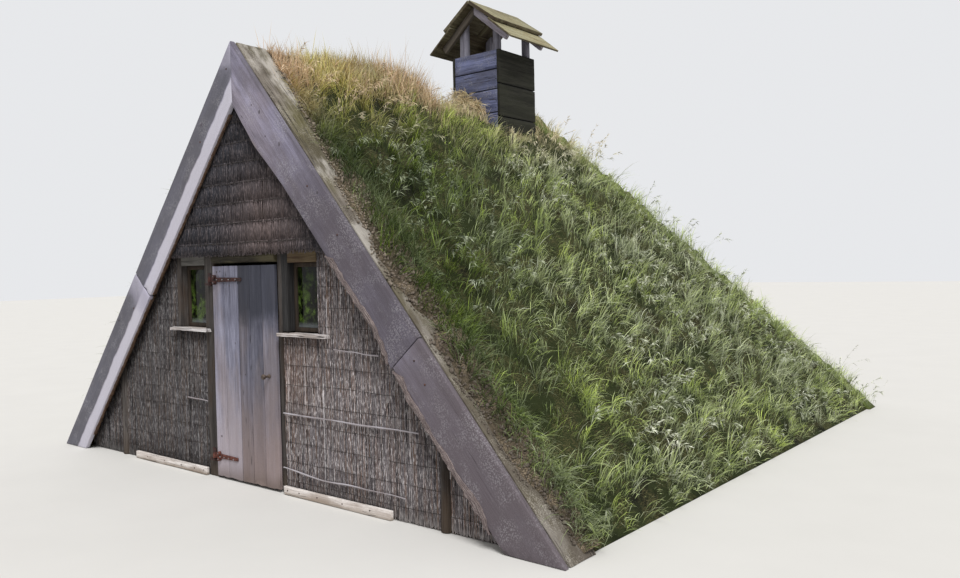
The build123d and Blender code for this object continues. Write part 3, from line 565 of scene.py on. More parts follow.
def glass_finish(name):
    """Old window glass with a painted reflection of green leaves, and dust along its lower edge."""
    ink = Finish(name, Transmission_Weight=0.45, IOR=1.3, Specular_IOR_Level=0.2)
    foot, head = (corner.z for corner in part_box("window_glass"))
    place = ink.place()
    height = ink.parts(place)["Z"]
    dust = ink.spread(ink.streaked(place, (14.0, 14.0, 5.0), 6.0, 0.65), 0.5, 0.85, 0.0, 0.12)
    veil = ink.sums("MAXIMUM", dust, ink.times(ink.spread(height, foot, foot + 0.05, 1.0, 0.0), 0.55))
    # Painted reflection of leaves, fading towards the top of the pane.
    leaf_reflection = ink.streaked(place, (16.0, 16.0, 12.0), 5.0, 0.7)
    leaf_reflection = ink.times(ink.spread(leaf_reflection, 0.44, 0.64), ink.spread(height, foot + 0.12, head, 1.0, 0.25))
    clear = ink.mixed(leaf_reflection, (11, 14, 9), (92, 116, 50))
    colour = ink.mixed(veil, clear, (150, 156, 160))
    return ink.close(colour, ink.spread(veil, 0.0, 0.6, 0.04, 0.35))


# Solids cut from the frame.

def solids_of(node):
    """The solids of a CAD node, each a mesh of clean flat faces, from left to right."""
    whole = bmesh.new()
    whole.from_mesh(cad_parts[node].data)
    bmesh.ops.remove_doubles(whole, verts=whole.verts, dist=1e-5)
    bmesh.ops.dissolve_limit(whole, angle_limit=radians(0.5), verts=whole.verts, edges=whole.edges)
    parts = []
    while whole.verts:
        whole.verts.ensure_lookup_table()
        reached = {whole.verts[0]}
        waiting = [whole.verts[0]]
        while waiting:
            for edge in waiting.pop().link_edges:
                for point in edge.verts:
                    if point not in reached:
                        reached.add(point)
                        waiting.append(point)
        whole.verts.index_update()
        kept = {point.index for point in reached}
        part = whole.copy()
        part.verts.ensure_lookup_table()
        bmesh.ops.delete(
            part, geom=[point for point in part.verts if point.index not in kept], context="VERTS")
        bmesh.ops.delete(whole, geom=list(reached), context="VERTS")
        parts.append(part)
    whole.free()
    return sorted(parts, key=lambda part: middle_of(part)[:])


def middle_of(part):
    """Middle of a solid's box, rounded so that like solids sort the same way each time."""
    low = [min(point.co[i] for point in part.verts) for i in range(3)]
    high = [max(point.co[i] for point in part.verts) for i in range(3)]
    return Vector(round((a + b) / 2, 3) for a, b in zip(low, high))


def everything(part):
    """All that a cutting operator takes."""
    return part.verts[:] + part.edges[:] + part.faces[:]


def sawn(part, axis, places, gap=0.003):
    """Cuts a solid square to an axis at the given places and closes the pieces."""
    pieces = []
    limits = [None, *sorted(places), None]
    for low, high in zip(limits, limits[1:]):
        piece = part.copy()
        for place, way in ((low, -1), (high, 1)):
            if place is None:
                continue
            bmesh.ops.bisect_plane(
                piece, geom=everything(piece), dist=1e-6, plane_co=axis * (place - way * gap / 2),
                plane_no=axis, clear_outer=way > 0, clear_inner=way < 0)
            bmesh.ops.holes_fill(
                piece, edges=[edge for edge in piece.edges if edge.is_boundary], sides=0)
        if piece.verts:
            pieces.append(piece)
    part.free()
    return pieces


def thickened(part, height):
    """A board with its upper face raised."""
    part.normal_update()
    top = max(part.faces, key=lambda face: face.normal.z * face.calc_area())
    bmesh.ops.translate(part, vec=top.normal * height, verts=top.verts)
    return part


def downward(way):
    """The same line, pointed at the ground, or else towards the right or the back."""
    lead = way.z if abs(way.z) > 0.3 else max(way, key=abs)
    return -way if (lead > 0) == (abs(way.z) > 0.3) else way


def axes_of(part):
    """Along, across and out of a board, from its longest edge and its widest face."""
    longest = max(part.edges, key=lambda edge: edge.calc_length())
    along = downward((longest.verts[1].co - longest.verts[0].co).normalized())
    widest = max(part.faces, key=lambda face: face.calc_area())
    across = widest.normal.cross(along)
    if across.length < 0.5:
        across = along.orthogonal()
    across = downward(across.normalized())
    return along, across, along.cross(across).normalized()


def span_of(part, axis):
    """Where a solid starts and ends along an axis."""
    heights = [point.co.dot(axis) for point in part.verts]
    return min(heights), max(heights)


def divide(part, axis, every):
    """Divides a solid by even planes square to an axis."""
    low, high = span_of(part, axis)
    count = int((high - low) / every)
    for step in range(1, count + 1):
        bmesh.ops.bisect_plane(
            part, geom=everything(part), dist=1e-6, plane_no=axis,
            plane_co=axis * (low + (high - low) * step / (count + 1)))


def rounded(part, offset, least=40):
    """Rounds those edges of a solid that turn by at least an angle in degrees."""
    part.normal_update()
    sharp = [
        side for side in part.edges
        if len(side.link_faces) == 2 and side.calc_face_angle(0.0) > radians(least)]
    bmesh.ops.bevel(
        part, geom=sharp, offset=offset, offset_type="OFFSET", affect="EDGES", segments=2, profile=0.5,
        material=-1, clamp_overlap=True)
    return part


def layers_on(part, *names):
    """New layers of vectors on the points of a solid."""
    return [part.verts.layers.float_vector.new(name) for name in names]


def waves(*places):
    """Noise between 0 and 1."""
    return 0.5 + 0.5 * noise(Vector(places))


def weather(part, seed, edge=None, step=None, hollows=None, live=(0.0, 0.0), ragged=0.0, tone=None):
    """Rounds the edges of one board, divides and roughens it, and stores its own lengths on it.

    live wears the first and second long edge, and ragged the far end, by up to those depths. tone
    is how pale the board is among its fellows, from 0 to 1."""
    worn_length = 0.12
    least_up = 0.35
    sizes = settings().timber
    edge = sizes.worn_edge if edge is None else edge
    step = sizes.step if step is None else step
    hollows = sizes.hollows if hollows is None else hollows
    part.normal_update()
    axes = axes_of(part)
    spans = [span_of(part, axis) for axis in axes]
    rounded(part, edge, 25)
    for axis in axes[:2]:
        divide(part, axis, step)
    part.normal_update()
    lay, share, under = layers_on(part, "lay", "share", "under")
    random = np.random.default_rng(seed)
    shift = Vector(random.uniform(-40, 40, 3))
    tone = random.uniform() if tone is None else tone
    lengths = [max(high - low, 1e-6) for low, high in spans]
    moves = []
    for point in part.verts:
        own = Vector(point.co.dot(axis) - low for axis, (low, _) in zip(axes, spans))
        part_x, part_y = own.x / lengths[0], own.y / lengths[1]
        point[lay] = own + shift
        point[share] = (part_x, part_y, tone)
        # under marks the faces that don't look up, for painted shade.
        point[under] = (1.0 if point.normal.z < least_up else 0.0, 0.0, 0.0)
        spot = own + shift
        move = -point.normal * waves(spot.x * 2.5, spot.y * 11, spot.z * 11) * hollows
        wave = 0.7 * waves(spot.x * 2.1, shift.y, 3.0) + 0.3 * waves(spot.x * 11, shift.z, spot.z * 6)
        move += axes[1] * wave * (live[0] * max(0.0, 1 - 3 * part_y) - live[1] * max(0.0, 3 * part_y - 2))
        bite = abs(noise(Vector((spot.y * 16, spot.z * 16, shift.x))))
        move -= axes[0] * ragged * bite * max(0.0, 1 - (lengths[0] - own.x) / worn_length)
        moves.append(move)
    for point, move in zip(part.verts, moves):
        point.co += move
    return part


def weathered(parts, seed, stride=1, **wear):
    """Some solids, each weathered from a seed of its own."""
    return [weather(part, seed + stride * count, **wear) for count, part in enumerate(parts)]


def settle(name, parts, material, body="root", stands_for=(), smooth=38):
    """Joins finished solids into one piece. Edges that turn by more than smooth degrees stay sharp."""
    whole = bmesh.new()
    for part in parts:
        lump = bpy.data.meshes.new("part")
        part.to_mesh(lump)
        part.free()
        whole.from_mesh(lump)
        bpy.data.meshes.remove(lump)
    mesh = bpy.data.meshes.new(name)
    whole.to_mesh(mesh)
    whole.free()
    mesh.shade_smooth()
    mesh.set_sharp_from_angle(angle=radians(smooth))
    return place_piece(name, mesh, material, body, stands_for)


def place_piece(name, mesh, material, body="root", stands_for=()):
    """Puts a finished mesh in the scene as a piece of the house."""
    mesh.materials.append(material)
    piece = bpy.data.objects.new(name, mesh)
    bpy.context.scene.collection.objects.link(piece)
    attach(piece, body)
    if stands_for:
        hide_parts(*stands_for)
    return piece


def worn_node(node, material, slot, seed, body="root", name=None, **wear):
    """One piece that stands for one CAD node, each of its solids weathered."""
    parts = weathered(solids_of(node), seed, 17, **wear)
    return settle(name or "worn_" + node, parts, material, body, (node,))


def rod(points, radius, sides, unevenness, seed, rings=4):
    """A bent round stick through points, with closed ends."""
    random = np.random.default_rng(seed)
    curve = bpy.data.curves.new("rod", "CURVE")
    curve.dimensions = "3D"
    curve.bevel_depth = radius
    curve.bevel_resolution = max(0, sides // 2 - 2)
    curve.use_fill_caps = True
    line = curve.splines.new("NURBS")
    line.points.add(len(points) - 1)
    for target, place in zip(line.points, points):
        target.co = (*place, 1.0)
        target.radius = 1.0 + unevenness * random.uniform(-1, 1)
    line.order_u = 3
    line.use_endpoint_u = True
    line.resolution_u = rings
    holder = bpy.data.objects.new("rod", curve)
    mesh = bpy.data.meshes.new_from_object(holder)
    bpy.data.objects.remove(holder)
    bpy.data.curves.remove(curve)
    part = bmesh.new()
    part.from_mesh(mesh)
    bpy.data.meshes.remove(mesh)
    bmesh.ops.remove_doubles(part, verts=part.verts, dist=1e-5)
    bmesh.ops.recalc_face_normals(part, faces=part.faces)
    return part


def dome(place, radius, height, segments=10):
    """A low domed head that sits on a face and looks to the front."""
    part = bmesh.new()
    bmesh.ops.create_uvsphere(part, u_segments=segments, v_segments=6, radius=radius)
    bmesh.ops.scale(part, vec=(1, 1, height / radius), verts=part.verts)
    turn = Z_AXIS.rotation_difference(-Y_AXIS).to_matrix().to_4x4()
    bmesh.ops.transform(part, matrix=Matrix.Translation(place) @ turn, verts=part.verts)
    return part


# Many copies of one small shape.

def template(part):
    """Points and faces of a small mesh, ready to be copied many times."""
    part.verts.index_update()
    points = np.array([point.co[:] for point in part.verts])
    faces = [[point.index for point in face.verts] for face in part.faces]
    part.free()
    return points, faces


def stalk_template(parts):
    """A four-sided stalk of radius 1 from z = 0 to 1."""
    part = bmesh.new()
    bmesh.ops.create_cone(part, cap_ends=True, segments=4, radius1=1.0, radius2=0.8, depth=1.0)
    bmesh.ops.translate(part, vec=(0, 0, 0.5), verts=part.verts)
    divide(part, Z_AXIS, 1.0 / parts - 1e-4 if parts > 1 else 2.0)
    return template(part)


def blade_template(parts):
    """A flat blade 1 wide and 1 long in X and Z that narrows to its tip."""
    part = bmesh.new()
    bmesh.ops.create_grid(part, x_segments=1, y_segments=parts, size=0.5)
    for point in part.verts:
        height = point.co.y + 0.5
        width = (0.7 + 0.6 * height) * (1 - height ** 2.2)
        point.co = (point.co.x * width, 0.0, height)
    bmesh.ops.remove_doubles(part, verts=part.verts, dist=1e-4)
    return template(part)


def unit(vectors):
    """Vectors of length 1."""
    return vectors / np.maximum(np.linalg.norm(vectors, axis=1, keepdims=True), 1e-9)


def copies(shape, roots, ways, sags, widths, facing, marks):
    """The points, marks and faces of bent copies of one shape.

    Each copy leaves its root along its way, and sags by the square of its length."""
    points, faces = shape
    across = unit(np.cross(ways, facing))
    out = unit(np.cross(across, ways))
    height = points[None, :, 2:]
    places = roots[:, None] + ways[:, None] * height + sags[:, None] * height ** 2
    for way, column in ((across, 0), (out, 1)):
        places = places + way[:, None] * (widths[:, None] * points[None, :, column])[..., None]
    stored = np.empty(places.shape)
    stored[..., 0] = points[:, 2]
    stored[..., 1:] = marks[:, None]
    return places, stored, faces


def mesh_of(name, places, marks, faces):
    """A mesh from arrays of placed copies and the faces of one copy."""
    count, size = places.shape[:2]
    sizes = np.array([len(face) for face in faces])
    corners = np.concatenate([np.array(face) for face in faces])
    corners = (corners[None] + np.arange(count)[:, None] * size).ravel()
    starts = np.concatenate(([0], np.cumsum(np.tile(sizes, count))[:-1]))
    mesh = bpy.data.meshes.new(name)
    mesh.vertices.add(count * size)
    mesh.vertices.foreach_set("co", places.astype(np.float32).ravel())
    mesh.loops.add(len(corners))
    mesh.loops.foreach_set("vertex_index", corners.astype(np.int32))
    mesh.polygons.add(len(starts))
    mesh.polygons.foreach_set("loop_start", starts.astype(np.int32))
    mesh.update(calc_edges=True)
    layer = mesh.attributes.new("blade", "FLOAT_VECTOR", "POINT")
    layer.data.foreach_set("vector", marks.astype(np.float32).ravel())
    mesh.shade_smooth()
    return mesh


# Reed.

def reed_columns(node, pitch):
    """Foot and top of the reed at even steps across a CAD node: rows of x, foot and top."""
    low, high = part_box(node)
    depth = (low.y + high.y) / 2
    solid = bmesh.new()
    solid.from_mesh(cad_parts[node].data)
    tree = BVHTree.FromBMesh(solid)
    rows = []
    for x in np.arange(low.x + pitch / 2, high.x, pitch):
        top = tree.ray_cast(Vector((x, depth, high.z + 1)), -Z_AXIS)[0]
        foot = tree.ray_cast(Vector((x, depth, low.z - 1)), Z_AXIS)[0]
        if top is not None and foot is not None and top.z - foot.z > 0.02:
            rows.append((x, foot.z, top.z))
    solid.free()
    return np.array(rows)


def reed_mesh(name, stretches, face, bulge, lean, random, radius, depth, shape):
    """Stalks over stretches of x, foot and top, in front of a face of the wall."""
    count = len(stretches)
    x, foot, top = stretches.T
    length = top - foot
    deep = face + depth * random.uniform(0, 1, count) ** 1.5
    roots = np.stack([x + random.normal(0, 0.002, count), deep, foot], 1)
    ways = np.stack([
        length * random.normal(0, lean, count), -4 * bulge + random.normal(0, 0.003, count), length], 1)
    sags = np.stack([
        length * random.normal(0, lean * 0.6, count), np.full(count, 4 * bulge), np.zeros(count)], 1)
    widths = radius * random.uniform(0.6, 1.35, count)
    facing = np.tile([[0.0, -1.0, 0.0]], (count, 1))
    marks = np.stack([random.uniform(0, 1, count), random.uniform(0, 0.8, count)], 1)
    places, marks, faces = copies(shape, roots, ways, sags, widths, facing, marks)
    places[..., 1] = np.maximum(places[..., 1], face - 0.012)
    places[..., 2] = np.maximum(places[..., 2], 0.002)
    return mesh_of(name, places, marks, faces)


def backing(node, recess, seed):
    """The reed of a CAD node as a plain mat, with its front face set back behind the stalks."""
    parts = solids_of(node)
    for part in parts:
        front = min(point.co.y for point in part.verts)
        bmesh.ops.translate(
            part, vec=(0, recess, 0), verts=[point for point in part.verts if point.co.y < front + 1e-4])
    return weathered(parts, seed, edge=0.002, step=0.2, hollows=0.0)


# Turf and grass.

def turf_solid(node, out):
    """The turf of a CAD node with its swells rounded off and small hollows in its face."""
    crumble = settings().turf.crumble
    matted = settings().turf.matted
    parts = solids_of(node)
    axes = (Y_AXIS, Z_AXIS, X_AXIS) if node == "turf_rear" else (Y_AXIS, Z_AXIS)
    for part in parts:
        for axis in axes:
            divide(part, axis, 0.1)
        bmesh.ops.triangulate(part, faces=[face for face in part.faces if len(face.verts) > 4])
        part.normal_update()
        skin = [
            point for point in part.verts if all(face.normal.dot(out) > 0.5 for face in point.link_faces)]
        for _ in range(3):
            bmesh.ops.smooth_vert(
                part, verts=skin, factor=0.5, use_axis_x=True, use_axis_y=True, use_axis_z=True)
        inside = set(skin)
        for point in part.verts:
            if point in inside:
                rise = noise(point.co * 4.3) + 0.6 * noise(point.co * 11)
                point.co += out * (crumble * rise - matted)
            elif any(face.normal.dot(out) > 0.5 for face in point.link_faces):
                point.co -= Vector((0, 0, matted / out.z)) if abs(point.co.x) < 1e-3 else out * matted
            point.co.z = max(point.co.z, 0.0)
    return parts


def turf_face():
    """The dressed turf and its banks as one tree for casting rays."""
    whole = bmesh.new()
    for name in (
        "lumpy_turf_left", "lumpy_turf_right", "lumpy_turf_rear", "soil_bank_left", "soil_bank_right",
    ):
        whole.from_mesh(bpy.data.objects[name].data)
    tree = BVHTree.FromBMesh(whole)
    whole.free()
    return tree


def on_side(side, down, y):
    """A point of a side slope, a distance down from the ridge."""
    return np.stack([side * down * cos(SLOPE), y, APEX - down * sin(SLOPE)], 1)


def bank_reach(side, down):
    """How far the soil reaches over a side's top board, at a distance down from the ridge."""
    most = 0.84
    lip = 0.012
    swell = 0.7 + 0.35 * noise(Vector((down * 1.9, 3.0, 0))) + 0.25 * noise(Vector((down * 6.0, 5.0, 0)))
    grows = min(1.0, max(0.0, (down - 0.4) / 1.3)) * min(1.0, max(0.5, (SLOPE_LENGTH - down) / 0.6))
    grows *= 1.0 + 0.35 * min(1.0, max(0.0, (down - 1.7) / 0.8))
    return min(most, 0.75 * swell * grows) * (TURF_FRONTS[side] - TOP_BOARD_FRONT) + lip


def bank_height(reach, share):
    """Height of the bank over the top board, at a share of its reach from its front edge."""
    return np.minimum(0.075, 0.4 * reach) * np.maximum(share, 0) ** 0.8


def side_places(side, random, count):
    """Random places on a side slope, as far back as the hip."""
    made = []
    while sum(map(len, made)) < count:
        down = random.uniform(0, SLOPE_LENGTH, count)
        places = on_side(side, down, random.uniform(TURF_FRONTS[side], REAR, count))
        made.append(places[places[:, 1] < REAR - places[:, 2] / tan(REAR_SLOPE) + 0.02])
    return np.concatenate(made)[:count]


def places_on(slope, random, count):
    """Random places on a slope that is given by its name."""
    if slope in SIDES:
        return side_places(SIDES[slope], random, count)
    z = APEX * (1 - np.sqrt(random.uniform(0, 1, count)))
    x = random.uniform(-1, 1, count) * (HALF_WIDTH - z / tan(SLOPE))
    return np.stack([x, REAR - z / tan(REAR_SLOPE), z], 1)


def rooted(tree, places, out):
    """Places moved onto the dressed turf, and which of them meet it outside the vent."""
    ahead = Vector(out)
    reach = 0.35
    hits = [tree.ray_cast(Vector(place) + ahead * reach, -ahead, 2 * reach)[0] for place in places]
    found = np.array([hit is not None for hit in hits])
    roots = np.array([hit[:] if hit is not None else (0.0, 0.0, 0.0) for hit in hits])
    margin = 0.02
    vent = (np.abs(roots[:, 0]) < VENT_HIGH.x + margin) & (roots[:, 1] > VENT_LOW.y - margin)
    vent &= roots[:, 1] < VENT_HIGH.y + margin
    return roots, found & ~vent & (roots[:, 2] > 0.012)


def clumped(places):
    """Places drawn together, so that the tall grass stands in clumps with hollows between them."""
    fineness = 3.4
    reach = 0.11
    return places + np.array([
        [reach * noise(Vector(place) * fineness + Vector((9.0 * axis, 4.0, 0.0))) for axis in range(3)]
        for place in places])


def dryness_of(roots):
    """How dry the grass is at each root: 0 is green and 1 is straw."""
    away = (APEX - roots[:, 2]) / sin(SLOPE)
    y = roots[:, 1] - FRONT
    patch = np.array([noise(Vector(root) * 1.4) + 0.5 * noise(Vector(root) * 4.0) for root in roots])
    ridge = np.exp(-(away / 0.36) ** 2)
    ridge *= np.interp(y, (0.3, 0.6, 0.75, 1.3, 1.55, 2.1, 2.4), (1.15, 1.05, 0.5, 0.45, 0.85, 1.15, 0.6))
    vent = np.hypot(np.maximum(np.abs(roots[:, 0]) - 0.3, 0), roots[:, 1] - VENT_MIDDLE)
    vent = np.exp(-(vent / 0.55) ** 2)
    front = 0.4 * np.exp(-((y - 0.36) / 0.16) ** 2) * (away < 2.6)
    return 0.1 + 0.9 * ridge + 0.55 * vent + front + 0.1 * (away / SLOPE_LENGTH) + 0.5 * patch


def grow(tree, places, out, down, per_tuft, length, random, upright=0.75, trim=None):
    """Blades in tufts on the turf: their roots, ways, sags and marks.

    All blades of a tuft share a lean, a vigour and a tint. They are shorter near the ridge, where
    trim gives their share of that length by the distance from the gable."""
    count = len(places) * per_tuft
    number = np.repeat(np.arange(len(places)), per_tuft)
    tuft_radius = 0.026
    root_depth = 0.006
    roots, kept = rooted(tree, places[number] + random.normal(0, tuft_radius, (count, 3)), out)
    roots, number = roots[kept], number[kept]
    count = len(roots)
    out, down = np.array(out[:]), np.array(down[:])
    up = np.array([0.0, 0.0, 1.0])
    lean = random.normal(0, 0.2, (len(places), 3))[number] + random.normal(0, 0.15, (count, 3))
    vigour = random.uniform(0.5, 1.35, len(places))[number] * random.uniform(0.6, 1.25, count)
    away = (APEX - roots[:, 2]) / sin(SLOPE)
    lengths = (length * vigour * np.clip(0.45 + away / 1.2, 0.45, 1.0))[:, None]
    if trim:
        lengths *= np.interp(roots[:, 1:2] - FRONT, *trim)
    beside = np.abs(roots[:, 1] - VENT_MIDDLE) - (VENT_HIGH.y - VENT_LOW.y) / 2
    beside = np.hypot(np.maximum(beside, 0), np.maximum(roots[:, 0] - VENT_HIGH.x, 0))
    lengths *= np.interp(beside, (0.0, 0.3), (0.35, 1.0))[:, None] ** (roots[:, :1] > VENT_HIGH.x - 0.12)
    flop = random.uniform(0.15, 1.0, (count, 1)) ** 0.7
    ways = lengths * unit(up * upright + out * random.uniform(0.1, 0.5, (count, 1)) + lean)
    sags = lengths * flop * (down * 0.36 - up * 0.5 + 0.4 * lean)
    y = roots[:, 1] - FRONT
    # Painted sunlight: blades in the open part of the slope are paler and drier.
    open_to_sun = np.clip((y + 0.5 * (away - 1.5) - 0.9) / 1.9, 0, 1)
    on_crest = np.exp(-(away / 0.3) ** 2) * np.interp(y, (0.8, 1.1, 2.1, 2.3), (0, 1, 1, 0))
    tint = 0.6 * random.uniform(0, 1, len(places))[number] ** 1.4 + 0.4 * random.uniform(0, 1, count)
    tint = np.clip(tint * (0.75 + 0.7 * open_to_sun) * (1 - 0.7 * on_crest) + 0.16 * open_to_sun, 0, 1)
    dry = dryness_of(places)[number] + random.normal(0, 0.12, len(places))[number] + 0.2 * open_to_sun
    dry = np.clip(dry + random.normal(0, 0.13, count) + 0.6 * (random.uniform(0, 1, count) < 0.1), 0, 1)
    return roots - out * root_depth, ways, sags, np.stack([tint, dry], 1)


def held_in(places):
    """Keeps grown points near the house, behind the front boards and off the ground."""
    reach = 0.1
    places[..., 0] = np.clip(places[..., 0], -HALF_WIDTH - reach, HALF_WIDTH + reach)
    places[..., 1] = np.clip(places[..., 1], FRONT + 0.01, REAR + reach)
    places[..., 2] = np.maximum(places[..., 2], 0.004)
    return places


def grass_piece(name, shape, grown, out, width, material, random):
    """One piece of grown blades."""
    roots, ways, sags, tints = grown
    facing = unit(np.array([out[:]]) + random.normal(0, 0.6, (len(roots), 3)))
    widths = width * random.uniform(0.55, 1.35, len(roots))
    places, marks, faces = copies(shape, roots, ways, sags, widths, facing, tints)
    return place_piece(name, mesh_of(name, held_in(places), marks, faces), material)


class HouseOperator:
    """What every step of the house shares."""

    bl_options = {"REGISTER", "UNDO"}


class HOUSE_OT_front_boards(HouseOperator, bpy.types.Operator):
    """Make the boards that face the gable"""

    bl_idname = "house.front_boards"
    bl_label = "Front Boards"

    def execute(self, context):
        colours = settings().timber
        flaws = (((124, 112, 112), 2.2, 0.35, 0.45), ((96, 92, 102), 4.0, 0.35, 0.5))
        spots = (((184, 182, 186), 0.012, 0.35, 0.3),)
        # On the right boards the dark band along the upper edge is a painted shadow in the seam with the top
        # board, and the darkening towards the lower end is partly the wood's own colour and partly painted
        # shade.
        right = timber(
            "board_right_wood", colours.board_pale, colours.board_dark, splits=0.25,
            stains=flaws, crusts=spots, along=(((82, 76, 82), 0.16, 0.6, 0.85),),
            across=(((74, 70, 74), 0.09, 0.0, 0.6), ((150, 134, 124), 0.9, 1.02, 0.5)), varied=0.04)
        low = timber(
            "board_low_wood", colours.board_pale, colours.board_dark, splits=0.5, relief=0.6,
            stains=flaws, crusts=spots, along=(((92, 84, 88), -0.9, 0.5, 0.95),),
            across=(((66, 60, 62), 0.3, 0.05, 0.6), ((142, 124, 112), 0.9, 1.0, 0.6)), varied=0.04)
        # Across the left board the dark outer band is painted shade and the pale strip along its inner edge
        # is painted sunlight; the board is also paler towards its upper end.
        left = timber(
            "board_left_wood", colours.board_pale, colours.board_dark, splits=0.3, relief=0.6,
            stains=flaws[:1], crusts=spots, varied=0.04,
            across=(((200, 197, 208), 0.56, 0.66, 0.85), ((86, 86, 92), 0.62, 0.57, 0.85)),
            along=(((168, 164, 180), 0.13, 0.02, 0.85),))
        for seed, side, length, finish, wear in (
            (11, "left", "upper", left, {"ragged": 0.05}),
            (12, "left", "lower", left, {}),
            (13, "right", "upper", right, {"live": (0.0, 0.012)}),
            (14, "right", "lower", low, {"live": (0.0, 0.02), "ragged": 0.01}),
        ):
            node = "front_board_" + side + "_" + length
            worn_node(node, finish, "front_boards", seed, edge=0.006, **wear)
        return {"FINISHED"}


def bark_strip(node, side, first, last, breadth, behind, seed):
    """A ragged strip of bark along the inner edge of a front board, for a share of its length.

    It starts that far behind the front of the board, and there it stands a little further out."""
    out_way, down_way = OUT[side], DOWN[side]
    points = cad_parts[node].data.vertices
    corners = [point.co for point in points if point.co.y < FRONT + 0.002]
    lines = sorted((corner.dot(down_way), corner.dot(out_way)) for corner in corners)
    middle = sum(line[1] for line in lines) / len(lines)
    places, edges = zip(*(line for line in lines if line[1] < middle))
    start = places[0] + first * (places[-1] - places[0])
    length = (last - first) * (places[-1] - places[0])
    steps = (
        (1.0, -0.003, 0.0), (0.8, 0.004, 0.5), (0.55, 0.005, 1.0), (0.3, 0.005, 1.0), (0.1, 0.004, 1.0),
        (-0.05, 0.0, 0.6), (-0.08, -0.014, 0.4), (0.7, -0.026, 0.0))
    columns = len(steps) - 1
    row_length = 0.008
    part = bmesh.new()
    bmesh.ops.create_grid(part, x_segments=int(length / row_length), y_segments=columns, size=1.0)
    lay, share = layers_on(part, "lay", "share")
    for point in part.verts:
        along, column = (point.co.x + 1) / 2, round((point.co.y + 1) / 2 * columns)
        inward, rise, rough = steps[column]
        down = start + along * length
        ends = min(1.0, 14 * min(along, 1 - along))
        spot = Vector((down * 9, column * 0.8, seed))
        width = 1.0 + 0.75 * noise(Vector((down * 4, seed, 2.0))) + 0.35 * noise(spot * 2)
        width *= ends * breadth
        lump = rough * (0.45 + noise(spot * 2.2) + 0.5 * noise(spot * 5.3)) * 0.007
        out = np.interp(down, places, edges) + inward * max(width, 0.003)
        out -= (1.3 * lump + 0.12 * behind) * (column > 3)
        point.co = down_way * down + out_way * float(out)
        point.co.y = FRONT + behind - rise - lump
        point[lay] = (down, float(out), 0.3 * column)
        point[share] = (along, column / columns, 0.5)
    bmesh.ops.recalc_face_normals(part, faces=part.faces)
    return part


class HOUSE_OT_bark(HouseOperator, bpy.types.Operator):
    """Make the bark that is left on the inner edges of the front boards"""

    bl_idname = "house.bark"
    bl_label = "Bark on the Boards"

    def execute(self, context):
        grey = timber(
            "bark", (166, 150, 146), (88, 74, 74), split=(46, 38, 38), fineness=1.6,
            splits=0.9, relief=1.0,
            stains=(((66, 56, 58), 12.0, 0.5, 0.75), ((190, 178, 174), 30.0, 0.3, 0.6)))
        ochre = timber(
            "ochre_bark", (150, 112, 84), (72, 54, 42), split=(40, 32, 30), fineness=1.6,
            splits=0.9, relief=1.0,
            stains=(((56, 46, 42), 12.0, 0.45, 0.8), ((168, 150, 136), 24.0, 0.3, 0.6)))
        for name, finish, breadth, behind, upper_start, seeds in (
            ("right", grey, 0.04, 0.0, 0.62, (3.0, 8.0)), ("left", ochre, 0.02, 0.03, 0.05, (5.0, 6.0)),
        ):
            board = "front_board_" + name
            strips = [
                bark_strip(board + length, SIDES[name], first, last, breadth, behind, seed)
                for length, first, last, seed in (
                    ("_upper", upper_start, 0.985, seeds[0]), ("_lower", 0.015, 0.9, seeds[1]))]
            settle("board_bark_" + name, strips, finish, smooth=50)
        return {"FINISHED"}


class HOUSE_OT_board_marks(HouseOperator, bpy.types.Operator):
    """Make the knots and the old nails in the front boards"""

    bl_idname = "house.board_marks"
    bl_label = "Knots and Nails"

    def execute(self, context):
        knots = []
        for x, z, radius in (
            (0.354, 2.947, 0.02), (0.42, 2.757, 0.012), (0.588, 2.678, 0.024), (1.009, 2.29, 0.02),
            (1.395, 1.624, 0.014), (1.809, 1.3, 0.016), (-0.435, 2.946, 0.026), (0.256, 3.014, 0.01),
        ):
            part = dome((x, FRONT + 0.003, z), 0.7 * radius, 0.0035, 12)
            bmesh.ops.scale(
                part, vec=(1, 1, 1.35), verts=part.verts, space=Matrix.Translation((-x, 0, -z)))
            knots.append(part)
        settle(
            "board_knots", knots,
            iron_finish("knot_wood", (72, 66, 74), (118, 112, 122), 0.0))
        nails = [
            dome((x, FRONT + 0.001, z), settings().iron.nail_radius, 0.004)
            for x, z in ((0.899, 2.341), (1.212, 1.975), (1.93, 1.129), (-0.457, 2.809), (-0.06, 3.342),
                         (2.02, 0.98), (-1.62, 1.42), (-1.9, 1.3))]
        settle(
            "board_nails", nails,
            iron_finish("nail_iron", (58, 50, 52), (104, 72, 60), 0.4))
        return {"FINISHED"}


class HOUSE_OT_gable_edge(HouseOperator, bpy.types.Operator):
    """Make the boards on the slope behind the front boards, and their rafters"""

    bl_idname = "house.gable_edge"
    bl_label = "Gable Edge"

    def execute(self, context):
        colours = settings().timber
        top = timber(
            "top_board_wood", (146, 138, 128), (84, 76, 68), splits=0.6, relief=0.9,
            stains=(((98, 94, 50), 1.6, 0.5, 0.6), ((70, 62, 52), 3.0, 0.4, 0.6),
                    ((196, 190, 182), 5.0, 0.3, 0.75)),
            crusts=(((186, 180, 168), 0.008, 0.4, 0.5),), along=(((96, 88, 80), 0.3, 0.7, 0.7),))
        rafter = timber(
            "gable_rafter_wood", (128, 100, 70), (56, 44, 32),
            stains=(((34, 30, 26), 2.5, 0.5, 0.7),))
        for seed, side in ((21, "left"), (23, "right")):
            worn_node(
                "top_board_" + side, top, "top_boards", seed, edge=0.008, hollows=0.008,
                live=(0.008, 0.0))
            worn_node("gable_rafter_" + side, rafter, "frame", seed + 1)
        return {"FINISHED"}


